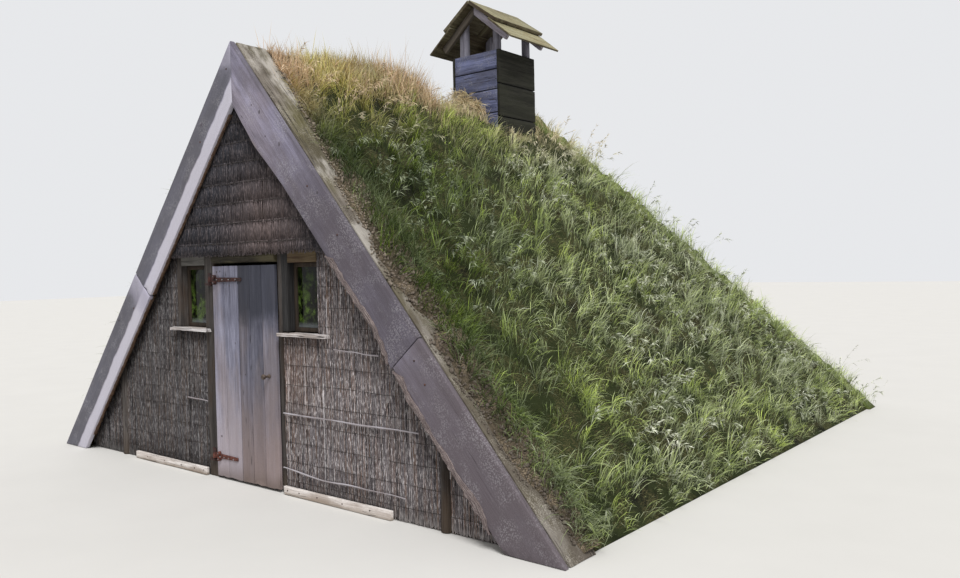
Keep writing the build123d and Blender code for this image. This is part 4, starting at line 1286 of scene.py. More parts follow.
class HOUSE_OT_gable_reed(HouseOperator, bpy.types.Operator):
    """Make the reed of the gable with its bindings"""

    bl_idname = "house.gable_reed"
    bl_label = "Gable Reed"

    def execute(self, context):
        sizes = settings().reed
        random = np.random.default_rng(31)
        # The warm patch on the gable reed is painted sunlight.
        finish = reed_finish(
            "gable_reed", sizes.gable_mid, (120, 111, 113), (66, 60, 61),
            (30, 29, 34), ((0.3, FRONT, 2.05), 0.8, (166, 142, 134), 0.5))
        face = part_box("upper_reed")[0].y + 0.016
        columns = reed_columns("upper_reed", 0.85 * sizes.pitch)
        bindings = np.arange(EAVE + sizes.first_course, APEX, sizes.course)
        limits = np.concatenate(([EAVE - 1.0], bindings, [APEX + 1.0]))
        stretches = []
        for low, high in zip(limits, limits[1:]):
            foot = np.maximum(columns[:, 1], low)
            top = np.minimum(columns[:, 2], high)
            row = np.stack([columns[:, 0], foot, top + 0.01], 1)[top - foot > 0.012]
            stretches += [row, row + (sizes.pitch / 2, 0, 0)]
        stretches = np.concatenate(stretches)
        lowest = stretches[:, 1] < EAVE + 0.01
        stretches[lowest, 1] -= random.uniform(-0.012, 0.034, lowest.sum())
        stretches[~lowest, 1] -= random.uniform(-0.01, 0.016, (~lowest).sum())
        mesh = reed_mesh(
            "gable_reed_stalks", stretches, face, 0.003, 0.028, random, sizes.stalk_radius, 0.01,
            stalk_template(1))
        place_piece("gable_reed_stalks", mesh, finish)
        mat = backing("upper_reed", 0.026, 32)
        settle("gable_reed_mat", mat, mat_finish(), stands_for=("upper_reed",))
        threads = []
        for count, height in enumerate(bindings):
            row = columns[columns[:, 2] > height + 0.02]
            if len(row) > 4:
                xs = np.linspace(row[0, 0] + 0.01, row[-1, 0] - 0.01, 14)
                points = [(x, face - 0.004, height + 0.01 * noise(Vector((x * 4, count, 0)))) for x in xs]
                threads.append(rod(points, 0.0024, 6, 0.3, count))
        settle(
            "gable_bindings", threads,
            iron_finish("binding_thread", (38, 34, 32), (58, 50, 44), 0.0))
        return {"FINISHED"}


def mat_finish():
    """Reed behind the stalks, coloured dark as painted shade in the gaps between them."""
    return bpy.data.materials.get("reed_mat") or timber(
        "reed_mat", (74, 64, 56), (26, 23, 21), fineness=1.6, splits=0.9, relief=0.9)


class HOUSE_OT_reed_walls(HouseOperator, bpy.types.Operator):
    """Make the reed beside and under the windows, with its sticks and wires"""

    bl_idname = "house.reed_walls"
    bl_label = "Reed Walls"

    def execute(self, context):
        sizes = settings().reed
        # The warm patch on the wall reed is painted sunlight, and the reed left of the door gets painted
        # shade.
        finish = reed_finish(
            "wall_reed", sizes.wall_mid, sizes.pale, sizes.warm, (46, 42, 43),
            ((0.42, FRONT, 0.95), 0.6, (156, 116, 88), 0.4), 0.68)
        wires = []
        for seed, node, name in (
            (41, "reed_wall_left", "reed_left"),
            (43, "reed_wall_right", "reed_right"),
            (45, "reed_under_windows", "reed_under_windows"),
        ):
            random = np.random.default_rng(seed)
            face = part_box(node)[0].y + 0.006
            columns = reed_columns(node, sizes.pitch * 1.1)
            stretches = []
            for layer in range(3):
                foot = columns[:, 1] + random.uniform(0, 0.03, len(columns))
                while True:
                    top = np.minimum(foot + random.uniform(0.3, 1.0, len(columns)), columns[:, 2])
                    kept = top - foot > 0.03
                    if not kept.any():
                        break
                    row = np.stack([columns[:, 0], foot, top], 1)[kept]
                    row[:, 0] += sizes.pitch * layer / 3
                    stretches.append(row)
                    foot = np.where(kept, top - random.uniform(0, 0.04, len(columns)), columns[:, 2])
                    foot = np.where(top >= columns[:, 2] - 1e-6, columns[:, 2], foot)
            mesh = reed_mesh(
                name + "_stalks", np.concatenate(stretches), face, 0.0, 0.006, random,
                sizes.stalk_radius * 1.1, 0.012, stalk_template(2))
            place_piece(name + "_stalks", mesh, finish)
            mat = backing(node, 0.018, seed + 1)
            settle(name + "_mat", mat, mat_finish(), stands_for=(node,))
            wires += self.rows_of_wire(columns, face, sizes.wire_rows, seed)
        settle(
            "reed_wires", wires,
            iron_finish("wire_iron", (50, 46, 46), (84, 74, 68), 0.4))
        self.make_sticks()
        return {"FINISHED"}

    def rows_of_wire(self, columns, face, step, seed):
        """Wavy wires across the reed that dip into it here and there."""
        rods = []
        for count, height in enumerate(np.arange(0.11, columns[:, 2].max(), step)):
            inside = columns[(columns[:, 1] < height) & (columns[:, 2] > height + 0.02), 0]
            for side in (inside[inside < 0], inside[inside > 0]):
                if len(side) < 12:
                    continue
                xs = np.linspace(side[0], side[-1], max(4, int((side[-1] - side[0]) / 0.07)))
                points = [
                    (x, face - 0.0025 + 0.006 * noise(Vector((x * 5, count, seed))),
                     height + 0.012 * noise(Vector((x * 2.3, count, seed + 9.5)))) for x in xs]
                rods.append(rod(points, 0.0016, 4, 0.0, count, 2))
        return rods

    def make_sticks(self):
        """Sticks that hold the reed, each with the place of its bends seen from the front."""
        depth = WALL - 0.012
        sticks = (
            ((1.025, 1.152), (1.14, 1.142), (1.26, 1.144), (1.36, 1.128), (1.495, 1.13)),
            ((0.419, 0.632), (0.7, 0.627), (1.0, 0.634), (1.3, 0.624), (1.6, 0.634), (1.859, 0.63)),
            ((0.401, 0.208), (0.52, 0.2), (0.655, 0.185), (0.8, 0.172), (0.931, 0.166), (1.151, 0.18),
             (1.349, 0.172), (1.58, 0.178), (1.72, 0.17)),
            ((-0.617, 0.636), (-0.7, 0.644), (-0.81, 0.641), (-0.925, 0.646)),
        )
        rods = []
        for count, places in enumerate(sticks):
            points = [(x, depth + 0.0015 * (index % 2), z) for index, (x, z) in enumerate(places)]
            rods.append(self.barked(rod(points, 0.0056, 8, 0.35, count), count))
        bark = timber(
            "stick_bark", (180, 176, 182), (122, 112, 112), fineness=1.4, splits=0.2)
        settle("reed_sticks", rods, bark)

    def barked(self, part, number):
        """Stores on a stick what a timber finish reads."""
        lay, share = layers_on(part, "lay", "share")
        for point in part.verts:
            point[lay] = point.co + Vector((number * 3.1, 0, 0))
            point[share] = (0.5, 0.5, 0.5)
        return part


class HOUSE_OT_wall_frame(HouseOperator, bpy.types.Operator):
    """Make the posts, the heads and the boards between the door and the windows"""

    bl_idname = "house.wall_frame"
    bl_label = "Wall Frame"

    def execute(self, context):
        colours = settings().timber
        posts = timber(
            "post_wood", colours.frame_pale, colours.frame_dark, splits=0.8, relief=0.8,
            stains=(((66, 50, 36), 3.0, 0.35, 0.5),), damp=((70, 58, 46), 0.3, 0.6))
        log = timber(
            "lintel_bark", (54, 49, 37), (24, 21, 16), splits=0.5, relief=0.9,
            stains=(((80, 78, 54), 5.0, 0.3, 0.5),), along=(((92, 86, 64), 0.6, 0.9, 0.5),))
        # The side board's colour is darkened by painted shade.
        shaded = timber("side_board_shaded_wood", (62, 61, 61), (32, 31, 31), splits=0.5)
        grey_head = timber("grey_head_wood", (108, 106, 102), (62, 60, 58))
        brown_head = timber(
            "brown_head_wood", (104, 90, 66), (58, 44, 32),
            stains=(((62, 40, 34), 4.0, 0.35, 0.6),))
        for seed, node, finish, wear in (
            (51, "door_post_left", posts, {}), (52, "door_post_right", posts, {}),
            (53, "door_lintel", log, {"hollows": 0.008, "step": 0.03}),
            (56, "window_posts", posts, {}), (58, "window_side_board", shaded, {}),
            (60, "corner_posts", posts, {"hollows": 0.006}),
        ):
            worn_node(node, finish, "frame", seed, **wear)
        heads = solids_of("window_heads")
        for part, name, finish in zip(heads, ("left", "right"), (grey_head, brown_head)):
            head = [weather(part, 54)]
            settle("worn_window_head_" + name, head, finish, stands_for=("window_heads",))
        return {"FINISHED"}


class HOUSE_OT_windows(HouseOperator, bpy.types.Operator):
    """Make the window frames, the glass and the sills"""

    bl_idname = "house.windows"
    bl_label = "Windows"

    def execute(self, context):
        bars = timber(
            "window_wood", (66, 56, 46), (30, 26, 23), splits=0.3,
            stains=(((44, 34, 28), 4.0, 0.4, 0.6),))
        worn_node("window_frames", bars, "window_frame", 61, edge=0.003)
        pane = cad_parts["window_glass"]
        pane.data.materials.clear()
        pane.data.materials.append(glass_finish("window_glass"))
        sill = timber(
            "sill_wood", (224, 220, 220), (158, 150, 148), splits=0.9, relief=0.9,
            stains=(((150, 136, 126), 5.0, 0.4, 0.6),))
        worn_node(
            "sill_boards", sill, "sill", 63, name="worn_sills", edge=0.007, step=0.025, hollows=0.012,
            ragged=0.03, live=(0.01, 0.006))
        return {"FINISHED"}


class HOUSE_OT_foot_boards(HouseOperator, bpy.types.Operator):
    """Make the low boards at the foot of the reed"""

    bl_idname = "house.foot_boards"
    bl_label = "Foot Boards"

    def execute(self, context):
        finish = timber(
            "foot_wood", (230, 224, 220), (182, 170, 162), splits=0.8, relief=0.9,
            stains=(((136, 118, 104), 6.0, 0.35, 0.5),), damp=((128, 112, 94), 0.04, 0.6))
        worn_node("foot_boards", finish, "frame", 71, step=0.03, hollows=0.008)
        low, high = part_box("foot_boards")
        nails = [
            dome((side * (start + reach), low.y + 0.003, high.z * 0.55), 0.006, 0.003)
            for side, start in ((1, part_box("door_post_right")[1].x), (-1, -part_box("door_post_left")[0].x))
            for reach in (0.05, 0.19, 0.4, 0.68, 0.97)]
        settle(
            "foot_board_nails", nails,
            iron_finish("foot_nail_iron", (46, 38, 36), (86, 60, 48)))
        return {"FINISHED"}


class HOUSE_OT_door(HouseOperator, bpy.types.Operator):
    """Make the planks and ledges of the door"""

    bl_idname = "house.door"
    bl_label = "Door"

    def execute(self, context):
        colours = settings().timber
        # The dark band at the top of the planks is a painted shadow of the overhang, faint on the two left
        # planks and deep on the others.
        pale, dark = (
            timber(
                name, colours.door_pale, colours.door_dark, splits=0.5, relief=0.6, varied=0.45,
                stains=(((80, 80, 90), 2.6, 0.3, 0.5), ((132, 120, 118), 2.0, 0.4, 0.45)),
                along=(((54, 56, 66), 0.34, 0.2, shade), (low, 0.4, 0.95, 0.75)),
                damp=((104, 90, 82), 0.16, 0.6))
            for name, shade, low in (
                ("door_light_shade_wood", 0.25, (156, 146, 150)), ("door_deep_shade_wood", 0.9, (148, 131, 127))))
        planks = []
        looks = (
            (0.84, 0.0, -0.001), (0.7, -0.001, 0.003), (0.26, 0.003, -0.001), (0.34, -0.001, -0.001),
            (0.5, -0.001, 0.0))
        for count, (part, (tone, left_gap, right_gap)) in enumerate(zip(solids_of("door_planks"), looks)):
            middle = middle_of(part).x
            for point in part.verts:
                point.co.x += left_gap if point.co.x < middle else -right_gap
            planks.append(weather(part, 80 + count, edge=0.002, tone=tone, ragged=0.012, hollows=0.004))
        settle("door_leaf_left", planks[:2], pale, "door", ("door_planks",))
        settle("door_leaf_right", planks[2:], dark, "door", ("door_planks",))
        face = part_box("door_planks")[0]
        knots = [
            dome((face.x + x, face.y + 0.0015, z), radius, 0.003)
            for x, z, radius in (
                (0.06, 1.735, 0.007), (0.085, 1.7, 0.005), (0.11, 1.74, 0.006), (0.07, 0.36, 0.008),
                (0.24, 1.62, 0.006), (0.43, 0.9, 0.006), (0.3, 1.15, 0.005))]
        settle(
            "door_knots", knots,
            iron_finish("door_knot_wood", (58, 52, 52), (92, 84, 84), 0.0), "door")
        inner = timber("ledge_wood", colours.inner_pale, colours.inner_dark)
        worn_node("door_ledges", inner, "door", 86, "door", "worn_ledges")
        return {"FINISHED"}


class HOUSE_OT_hinges(HouseOperator, bpy.types.Operator):
    """Make the long hinges with their nails"""

    bl_idname = "house.hinges"
    bl_label = "Hinges"

    def execute(self, context):
        colours = settings().iron
        rust = iron_finish("hinge_iron", colours.rust_dark, colours.rust_bright)
        fresh = iron_finish("low_hinge_iron", colours.rust_bright, colours.rust_fresh)
        straps = {rust: [], fresh: []}
        heads = []
        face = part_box("hinge_straps")[0].y
        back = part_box("door_planks")[0].y
        lobe_radius = 0.014
        for part in solids_of("hinge_straps"):
            middle = middle_of(part).z
            left, right = span_of(part, X_AXIS)
            strap = straps[rust if middle > 1.0 else fresh]
            strap.append(rounded(part, 0.0015))
            for way in (-1, 1):
                lobe = bmesh.new()
                bmesh.ops.create_cone(
                    lobe, cap_ends=True, segments=20, radius1=lobe_radius, radius2=lobe_radius,
                    depth=back - face - 0.0006)
                bmesh.ops.scale(lobe, vec=(1, 1.25, 1), verts=lobe.verts)
                bmesh.ops.rotate(lobe, matrix=Matrix.Rotation(pi / 2, 3, "X"), verts=lobe.verts)
                bmesh.ops.translate(
                    lobe, vec=(left + 0.085, (back + face) / 2, middle + way * 0.023), verts=lobe.verts)
                strap.append(rounded(lobe, 0.0012))
                heads.append(dome((left + 0.085, face, middle + way * 0.026), 0.0045, 0.003))
            first = left + 0.05
            for share in (0.22, 0.42, 0.64, 0.88):
                heads.append(dome((first + (right - first) * share, face, middle), 0.0065, 0.0035))
        for name, finish in (("upper", rust), ("lower", fresh)):
            settle("hinge_strap_" + name, straps[finish], finish, "door", ("hinge_straps",))
        pale = iron_finish("pale_nail_iron", (150, 148, 152), (118, 108, 104), 0.6)
        settle("hinge_nails", heads, pale, "door")
        plates = [rounded(part, 0.0012) for part in solids_of("hinge_pintles")]
        settle("hinge_pins", plates, rust, stands_for=("hinge_pintles",))
        return {"FINISHED"}


class HOUSE_OT_knob(HouseOperator, bpy.types.Operator):
    """Make the turned knob of the door"""

    bl_idname = "house.knob"
    bl_label = "Knob"

    def execute(self, context):
        low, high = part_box("door_knob")
        length = high.y - low.y
        radius = (high.x - low.x) / 2
        profile = (
            (0.0, 0.0), (0.017, 0.0), (0.017, 0.004), (0.011, 0.008), (0.009, 0.03), (0.0105, 0.042),
            (0.018, 0.046), (radius, 0.054), (radius, length - 0.008), (0.016, length - 0.002),
            (0.0, length))
        part = bmesh.new()
        points = [part.verts.new((x, 0, z)) for x, z in profile]
        lines = [part.edges.new(pair) for pair in zip(points, points[1:])]
        bmesh.ops.spin(
            part, geom=points + lines, axis=(0, 0, 1), cent=(0, 0, 0), angle=2 * pi, steps=28,
            use_merge=True)
        bmesh.ops.remove_doubles(part, verts=part.verts, dist=1e-5)
        bmesh.ops.recalc_face_normals(part, faces=part.faces)
        bmesh.ops.rotate(part, matrix=Matrix.Rotation(pi / 2, 3, "X"), verts=part.verts)
        bmesh.ops.translate(
            part, vec=((low.x + high.x) / 2, high.y, (low.z + high.z) / 2), verts=part.verts)
        finish = iron_finish("knob_wood", (66, 54, 46), (104, 90, 80), 0.0)
        settle("turned_knob", [part], finish, "door", ("door_knob",), smooth=50)
        return {"FINISHED"}


class HOUSE_OT_vent(HouseOperator, bpy.types.Operator):
    """Make the boards of the smoke vent"""

    bl_idname = "house.vent"
    bl_label = "Smoke Vent"

    def execute(self, context):
        colours = settings().timber
        front = timber(
            "vent_front_wood", colours.vent_pale, colours.vent_dark, splits=0.6, relief=0.7, varied=0.22,
            stains=(((80, 78, 84), 3.0, 0.4, 0.5),), crusts=(((164, 164, 168), 0.014, 0.35, 0.4),),
            seams=((34, 34, 40), 0.025, 0.8))
        # The side boards take a darker copy of the vent wood: painted shade.
        side = timber(
            "vent_side_shaded_wood", (42, 41, 33), (20, 20, 16), splits=0.6, relief=0.7,
            varied=0.22, stains=(((34, 35, 24), 3.0, 0.5, 0.6),), seams=((14, 14, 12), 0.05, 0.8))
        for seed, node, joints, finish in (
            (101, "flue_front", (3.804, 3.596, 3.352, 3.114), front),
            (111, "flue_back", (3.78, 3.57, 3.33, 3.1), front),
            (121, "flue_left", (3.66, 3.31, 3.06), side),
            (131, "flue_right", (3.65, 3.306, 3.05), side),
        ):
            boards = sawn(solids_of(node)[0], Z_AXIS, joints, 0.005)
            boards = weathered(boards, seed, edge=0.005, hollows=0.004)
            settle("boards_" + node, boards, finish, stands_for=(node,))
        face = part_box("flue_front")[0].y
        nails = [
            dome((x, face + 0.002, z), 0.006, 0.003)
            for z in (3.91, 3.83, 3.7, 3.62, 3.47, 3.4)
            for x in (VENT_HIGH.x - 0.05 + 0.01 * noise(Vector((z * 9, 0, 0))), VENT_LOW.x + 0.06)]
        settle("vent_nails", nails, iron_finish("vent_nail_iron", (34, 32, 38), (58, 48, 50)))
        return {"FINISHED"}


class HOUSE_OT_cap(HouseOperator, bpy.types.Operator):
    """Make the small roof over the smoke vent"""

    bl_idname = "house.cap"
    bl_label = "Vent Cap"

    def execute(self, context):
        # The faces of the cap boards that don't look up get painted shade.
        boards = timber(
            "cap_wood", (146, 140, 112), (98, 92, 70), splits=0.5, relief=0.7,
            stains=(((112, 92, 62), 3.0, 0.3, 0.5),),
            crusts=(((170, 164, 118), 0.012, 0.6, 0.6), ((160, 162, 146), 0.007, 0.4, 0.6)),
            under=((52, 38, 30), 0.92))
        # The rafters come in a lit copy on the right and a shaded copy on the left: painted light and painted
        # shade.
        lit = timber("cap_rafter_lit_wood", (176, 170, 184), (112, 104, 114))
        sheltered = timber("cap_shaded_wood", (104, 96, 88), (58, 52, 47))
        posts = timber("cap_post_wood", (156, 154, 168), (96, 94, 104))
        joint = (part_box("cap_boards_lower")[0].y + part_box("cap_boards_lower")[1].y) / 2 - 0.03
        for seed, node, joints in (
            (141, "cap_board_upper_left", (joint + 0.08,)), (143, "cap_board_upper_right", (joint,)),
        ):
            parts = sawn(thickened(solids_of(node)[0], 0.016), Y_AXIS, joints, 0.006)
            parts = weathered(parts, seed, edge=0.004, live=(0.004, 0.006))
            settle("worn_" + node, parts, boards, stands_for=(node,))
        worn_node("cap_boards_lower", boards, "cap", 145, edge=0.004, live=(0.0, 0.008))
        pairs = [sawn(pair, X_AXIS, (0.0,), 0.0) for pair in solids_of("cap_rafters")]
        for halves, name, finish in zip(zip(*pairs), ("left", "right"), (sheltered, lit)):
            parts = weathered(halves, 147, 0, edge=0.004)
            settle("cap_rafters_" + name, parts, finish, stands_for=("cap_rafters",))
        worn_node("cap_posts", posts, "cap", 149, edge=0.004)
        return {"FINISHED"}


class HOUSE_OT_roof_frame(HouseOperator, bpy.types.Operator):
    """Make the timber under the turf"""

    bl_idname = "house.roof_frame"
    bl_label = "Roof Frame"

    def execute(self, context):
        colours = settings().timber
        inner = timber(
            "inner_wood", colours.inner_pale, colours.inner_dark, splits=0.5,
            stains=(((48, 38, 30), 1.6, 0.4, 0.5),))
        for seed, node in (
            (151, "ridge_board"), (155, "rafters"), (185, "rear_rafters"), (195, "tie_beam"),
            (196, "gable_studs"),
        ):
            worn_node(node, inner, "frame", seed, step=0.4)
        board_width = 0.2
        joints = [board_width * count for count in range(-1, 23)]
        for seed, side in ((201, "left"), (221, "right")):
            node = "lining_" + side
            boards = []
            for part in solids_of(node):
                boards += sawn(part, DOWN[SIDES[side]], joints, 0.004)
            boards = weathered(boards, seed, edge=0.002, step=0.6, hollows=0.002)
            settle("boards_" + node, boards, inner, stands_for=(node,))
        worn_node("lining_rear", inner, "lining", 241, step=0.5)
        return {"FINISHED"}


class HOUSE_OT_turf(HouseOperator, bpy.types.Operator):
    """Make the lumpy turf under the grass, and the soil that lies on the top boards"""

    bl_idname = "house.turf"
    bl_label = "Turf"

    def execute(self, context):
        colours = settings().turf
        # The dark soil of the right slope is painted shade in the hollows, and the left and rear slopes take
        # a paler copy: painted light.
        finish = soil_finish("turf_soil", colours.soil, (46, 54, 26), (96, 90, 60))
        lit_back_soil = soil_finish(
            "back_slopes_lit_soil", (120, 118, 84), (96, 114, 54), (140, 140, 92))
        for node, out, soil in (
            ("turf_left", OUT[-1], lit_back_soil), ("turf_right", OUT[1], finish), ("turf_rear", REAR_OUT, lit_back_soil),
        ):
            settle("lumpy_" + node, turf_solid(node, out), soil, stands_for=(node,), smooth=60)
        # The bank and the crumbs get painted shade low down.
        bank = soil_finish(
            "bank_soil", (104, 92, 80), (70, 66, 44), (158, 142, 120), 0.3)
        for name in ("right", "left"):
            self.make_bank(SIDES[name], name, bank)
        self.make_crumbs(soil_finish(
            "crumb_soil", (176, 162, 148), (120, 108, 90), (196, 184, 166), 0.3,
            0.85))
        return {"FINISHED"}

    def make_bank(self, side, name, finish):
        """Soil that has slipped from the turf onto the top board."""
        overlap = 0.012
        first = 0.06
        roughness = 0.014
        part = bmesh.new()
        bmesh.ops.create_grid(part, x_segments=240, y_segments=12, size=0.5)
        for point in part.verts:
            down = first + (point.co.x + 0.5) * (SLOPE_LENGTH - 0.1)
            share = point.co.y + 0.5
            reach = bank_reach(side, down)
            height = bank_height(reach, share) if share > 0.02 else -0.004
            spot = Vector((down * 13, share * reach * 40, side))
            height += roughness * (noise(spot) + 0.8 * noise(spot * 2.9)) * min(1.0, 4 * share)
            y = TURF_FRONTS[side] + overlap - reach * (1 - share)
            point.co = Vector((side * down * cos(SLOPE), y, APEX - down * sin(SLOPE)))
            point.co += OUT[side] * height
            point.co.z = max(point.co.z, 0.002)
        bmesh.ops.recalc_face_normals(part, faces=part.faces)
        settle("soil_bank_" + name, [part], finish, smooth=80)

    def make_crumbs(self, finish):
        """Crumbs of soil and small stones on the bank and at its edge."""
        random = np.random.default_rng(251)
        part = bmesh.new()
        bmesh.ops.create_icosphere(part, subdivisions=1, radius=1.0)
        points, faces = template(part)
        count = 2400
        side = np.where(random.uniform(0, 1, count) < 0.8, 1.0, -1.0)
        down = random.uniform(0.3, SLOPE_LENGTH - 0.08, count)
        reach = np.array([bank_reach(way, value) for way, value in zip(side, down)])
        share = random.uniform(-0.2, 0.8, count)
        y = np.array([TURF_FRONTS[way] for way in side]) + 0.01 - reach * (1 - share)
        size = random.uniform(0.003, 0.01, count) * np.where(random.uniform(0, 1, count) < 0.08, 1.8, 1.0)
        out = np.array([OUT[way][:] for way in side])
        centres = on_side(side, down, y) + out * (bank_height(reach, share) + size * 0.3)[:, None]
        shake = random.uniform(0.65, 1.35, (count, len(points), 1))
        places = centres[:, None] + points[None] * size[:, None, None] * shake
        places[..., 2] = np.maximum(places[..., 2], 0.003)
        mesh = mesh_of("turf_crumbs", places, np.zeros(places.shape), faces)
        place_piece("turf_crumbs", mesh, finish)


class HOUSE_OT_grass(HouseOperator, bpy.types.Operator):
    """Make the grass that grows on the three slopes and on the ridge"""

    bl_idname = "house.grass"
    bl_label = "Grass"

    def execute(self, context):
        sizes = settings().turf
        finish = grass_finish("grass", sizes)
        tree = turf_face()
        side_area = SLOPE_LENGTH * (HIP + REAR - 2 * TURF_FRONTS[1]) / 2
        slopes = (
            (261, "right", OUT[1], DOWN[1], side_area, 1.0),
            (263, "left", OUT[-1], DOWN[-1], side_area * 0.6, 1.5),
            (265, "rear", REAR_OUT, REAR_DOWN, HALF_WIDTH * SLOPE_LENGTH * 0.6, 1.5),
        )
        for seed, name, out, down, area, broader in slopes:
            width = sizes.blade_width * broader
            random = np.random.default_rng(seed)
            for kind, shape, share, length, per_tuft, upright in (
                ("short", blade_template(2), 0.5, sizes.short_blade, 9, 0.6),
                ("long", blade_template(4), 0.42, sizes.long_blade, 14, 1.2),
            ):
                places = places_on(name, random, int(sizes.density * area * share / per_tuft))
                if kind == "long":
                    places = clumped(places)
                grown = grow(tree, places, out, down, per_tuft, length, random, upright)
                grass_piece("grass_" + name + "_" + kind, shape, grown, out, width, finish, random)
            places = places_on(name, random, int(area * 32))
            shift = Vector((seed, 0, 0))
            places = places[[noise(Vector(place) * 1.1 + shift) > 0.02 for place in places]]
            self.make_heads(name, tree, places, out, down, finish, random)
        self.make_fringe(tree, finish)
        self.make_ridge(tree, finish)
        self.make_heap(finish)
        return {"FINISHED"}

    def make_fringe(self, tree, finish):
        """Grass that hangs over the banks of soil beside the gable."""
        toward = Vector((0, -0.6, 0))
        start = 0.06
        for seed, name, count in ((271, "right", 620), (273, "left", 380)):
            side = SIDES[name]
            random = np.random.default_rng(seed)
            down = random.uniform(0.25, SLOPE_LENGTH - 0.05, count)
            reach = np.array([bank_reach(side, value) for value in down])
            back = (0.75 * reach + start) * random.uniform(0, 1, count) ** 1.6
            places = on_side(side, down, TURF_FRONTS[side] + start - back)
            grown = grow(tree, places, OUT[side], DOWN[side] + toward, 11, 0.2, random, 0.7)
            grass_piece(
                "grass_fringe_" + name, blade_template(4), grown, OUT[side], 0.0045, finish, random)

    def make_heads(self, name, tree, places, out, down, finish, random):
        """Thin stems with feathery seed heads over the grass."""
        sprays = 10
        spray_length = 0.055
        spray_sag = 0.018
        length = 1.35 * settings().turf.long_blade
        roots, ways, sags, tints = grow(tree, places, out, down, 2, length, random, 1.0)
        sags *= 0.7
        tints[:, 1] = np.clip(tints[:, 1] + 0.45, 0, 1)
        tints[:, 0] = 0.5 + 0.5 * tints[:, 0]
        stems = (roots, ways, sags, tints)
        grass_piece("grass_stems_" + name, blade_template(5), stems, out, 0.0028, finish, random)
        roots, ways, sags, tints = (np.repeat(value, sprays, 0) for value in stems)
        place = np.clip(random.normal(0.86, 0.13, (len(roots), 1)), 0.55, 1.0)
        starts = roots + ways * place + sags * place ** 2
        ways = spray_length * unit(unit(ways + 2 * sags) + random.normal(0, 0.5, (len(starts), 3)))
        sags = np.tile([[0.0, 0.0, -spray_sag]], (len(starts), 1))
        tints[:, 1] = np.clip(tints[:, 1] + 0.4, 0, 1)
        heads = (starts, ways, sags, tints)
        grass_piece("grass_heads_" + name, blade_template(2), heads, out, 0.007, finish, random)

    def make_heap(self, finish):
        """Dry grass heaped against the front of the smoke vent, highest at its left corner."""
        random = np.random.default_rng(291)
        count = 1700
        left, right = VENT_LOW.x - 0.05, 0.14
        x = random.uniform(left, right, count)
        share = random.uniform(0, 1, count)
        height = np.interp(x, (left, VENT_LOW.x + 0.1, right), (0.34, 0.3, 0.0)) * share
        y = VENT_LOW.y - 0.02 - 0.12 * (1 - share)
        roots = np.stack([x, y, APEX - 0.35 * np.abs(x) - 0.14 + height], 1)
        clump = np.array([noise(Vector(root) * 13.0) for root in roots])
        roots[:, 1] += 0.05 - 0.1 * np.clip(clump + 0.5, 0, 1)
        ways = unit(random.normal(0, 0.75, (count, 3)) + np.array([[0.25, -0.8, 0.15]]))
        ways *= np.clip(0.09 + 0.1 * clump + random.uniform(-0.03, 0.05, count), 0.04, 0.2)[:, None]
        sags = np.tile([[0.0, -0.01, -0.06]], (count, 1))
        tint = np.clip(0.2 + 0.7 * clump + random.uniform(-0.2, 0.2, count), 0, 1)
        tints = np.stack([tint, random.uniform(0.75, 1.0, count)], 1)
        grown = (roots, ways, sags, tints)
        toward = Vector((0.3, -1, 0.3)).normalized()
        grass_piece("grass_heap", blade_template(3), grown, toward, 0.006, finish, random)

    def make_ridge(self, tree, finish):
        """Short tangled straw and a few taller blades along the ridge."""
        random = np.random.default_rng(281)
        trim = ((0.3, 0.8, 1.3, 1.8, 2.1, 2.2, 3.0), (0.75, 0.8, 1.1, 1.25, 1.2, 0.5, 0.6))
        for name, count, per_tuft, width, back, length, upright in (
            ("front", 1000, 9, 0.17, FRONT + 2.2, 0.3, 0.55),
            ("back", 460, 9, 0.16, HIP + 0.1, 0.3, 0.6),
            ("tall", 300, 2, 0.1, FRONT + 2.2, 0.5, 1.6),
        ):
            places = np.stack([
                random.normal(0, width, count), random.uniform(TURF_FRONTS[1] - 0.02, back, count),
                np.full(count, APEX - 0.05)], 1)
            grown = grow(tree, places, Z_AXIS, Z_AXIS, per_tuft, length, random, upright, trim)
            grass_piece("grass_ridge_" + name, blade_template(3), grown, Z_AXIS, 0.0042, finish, random)


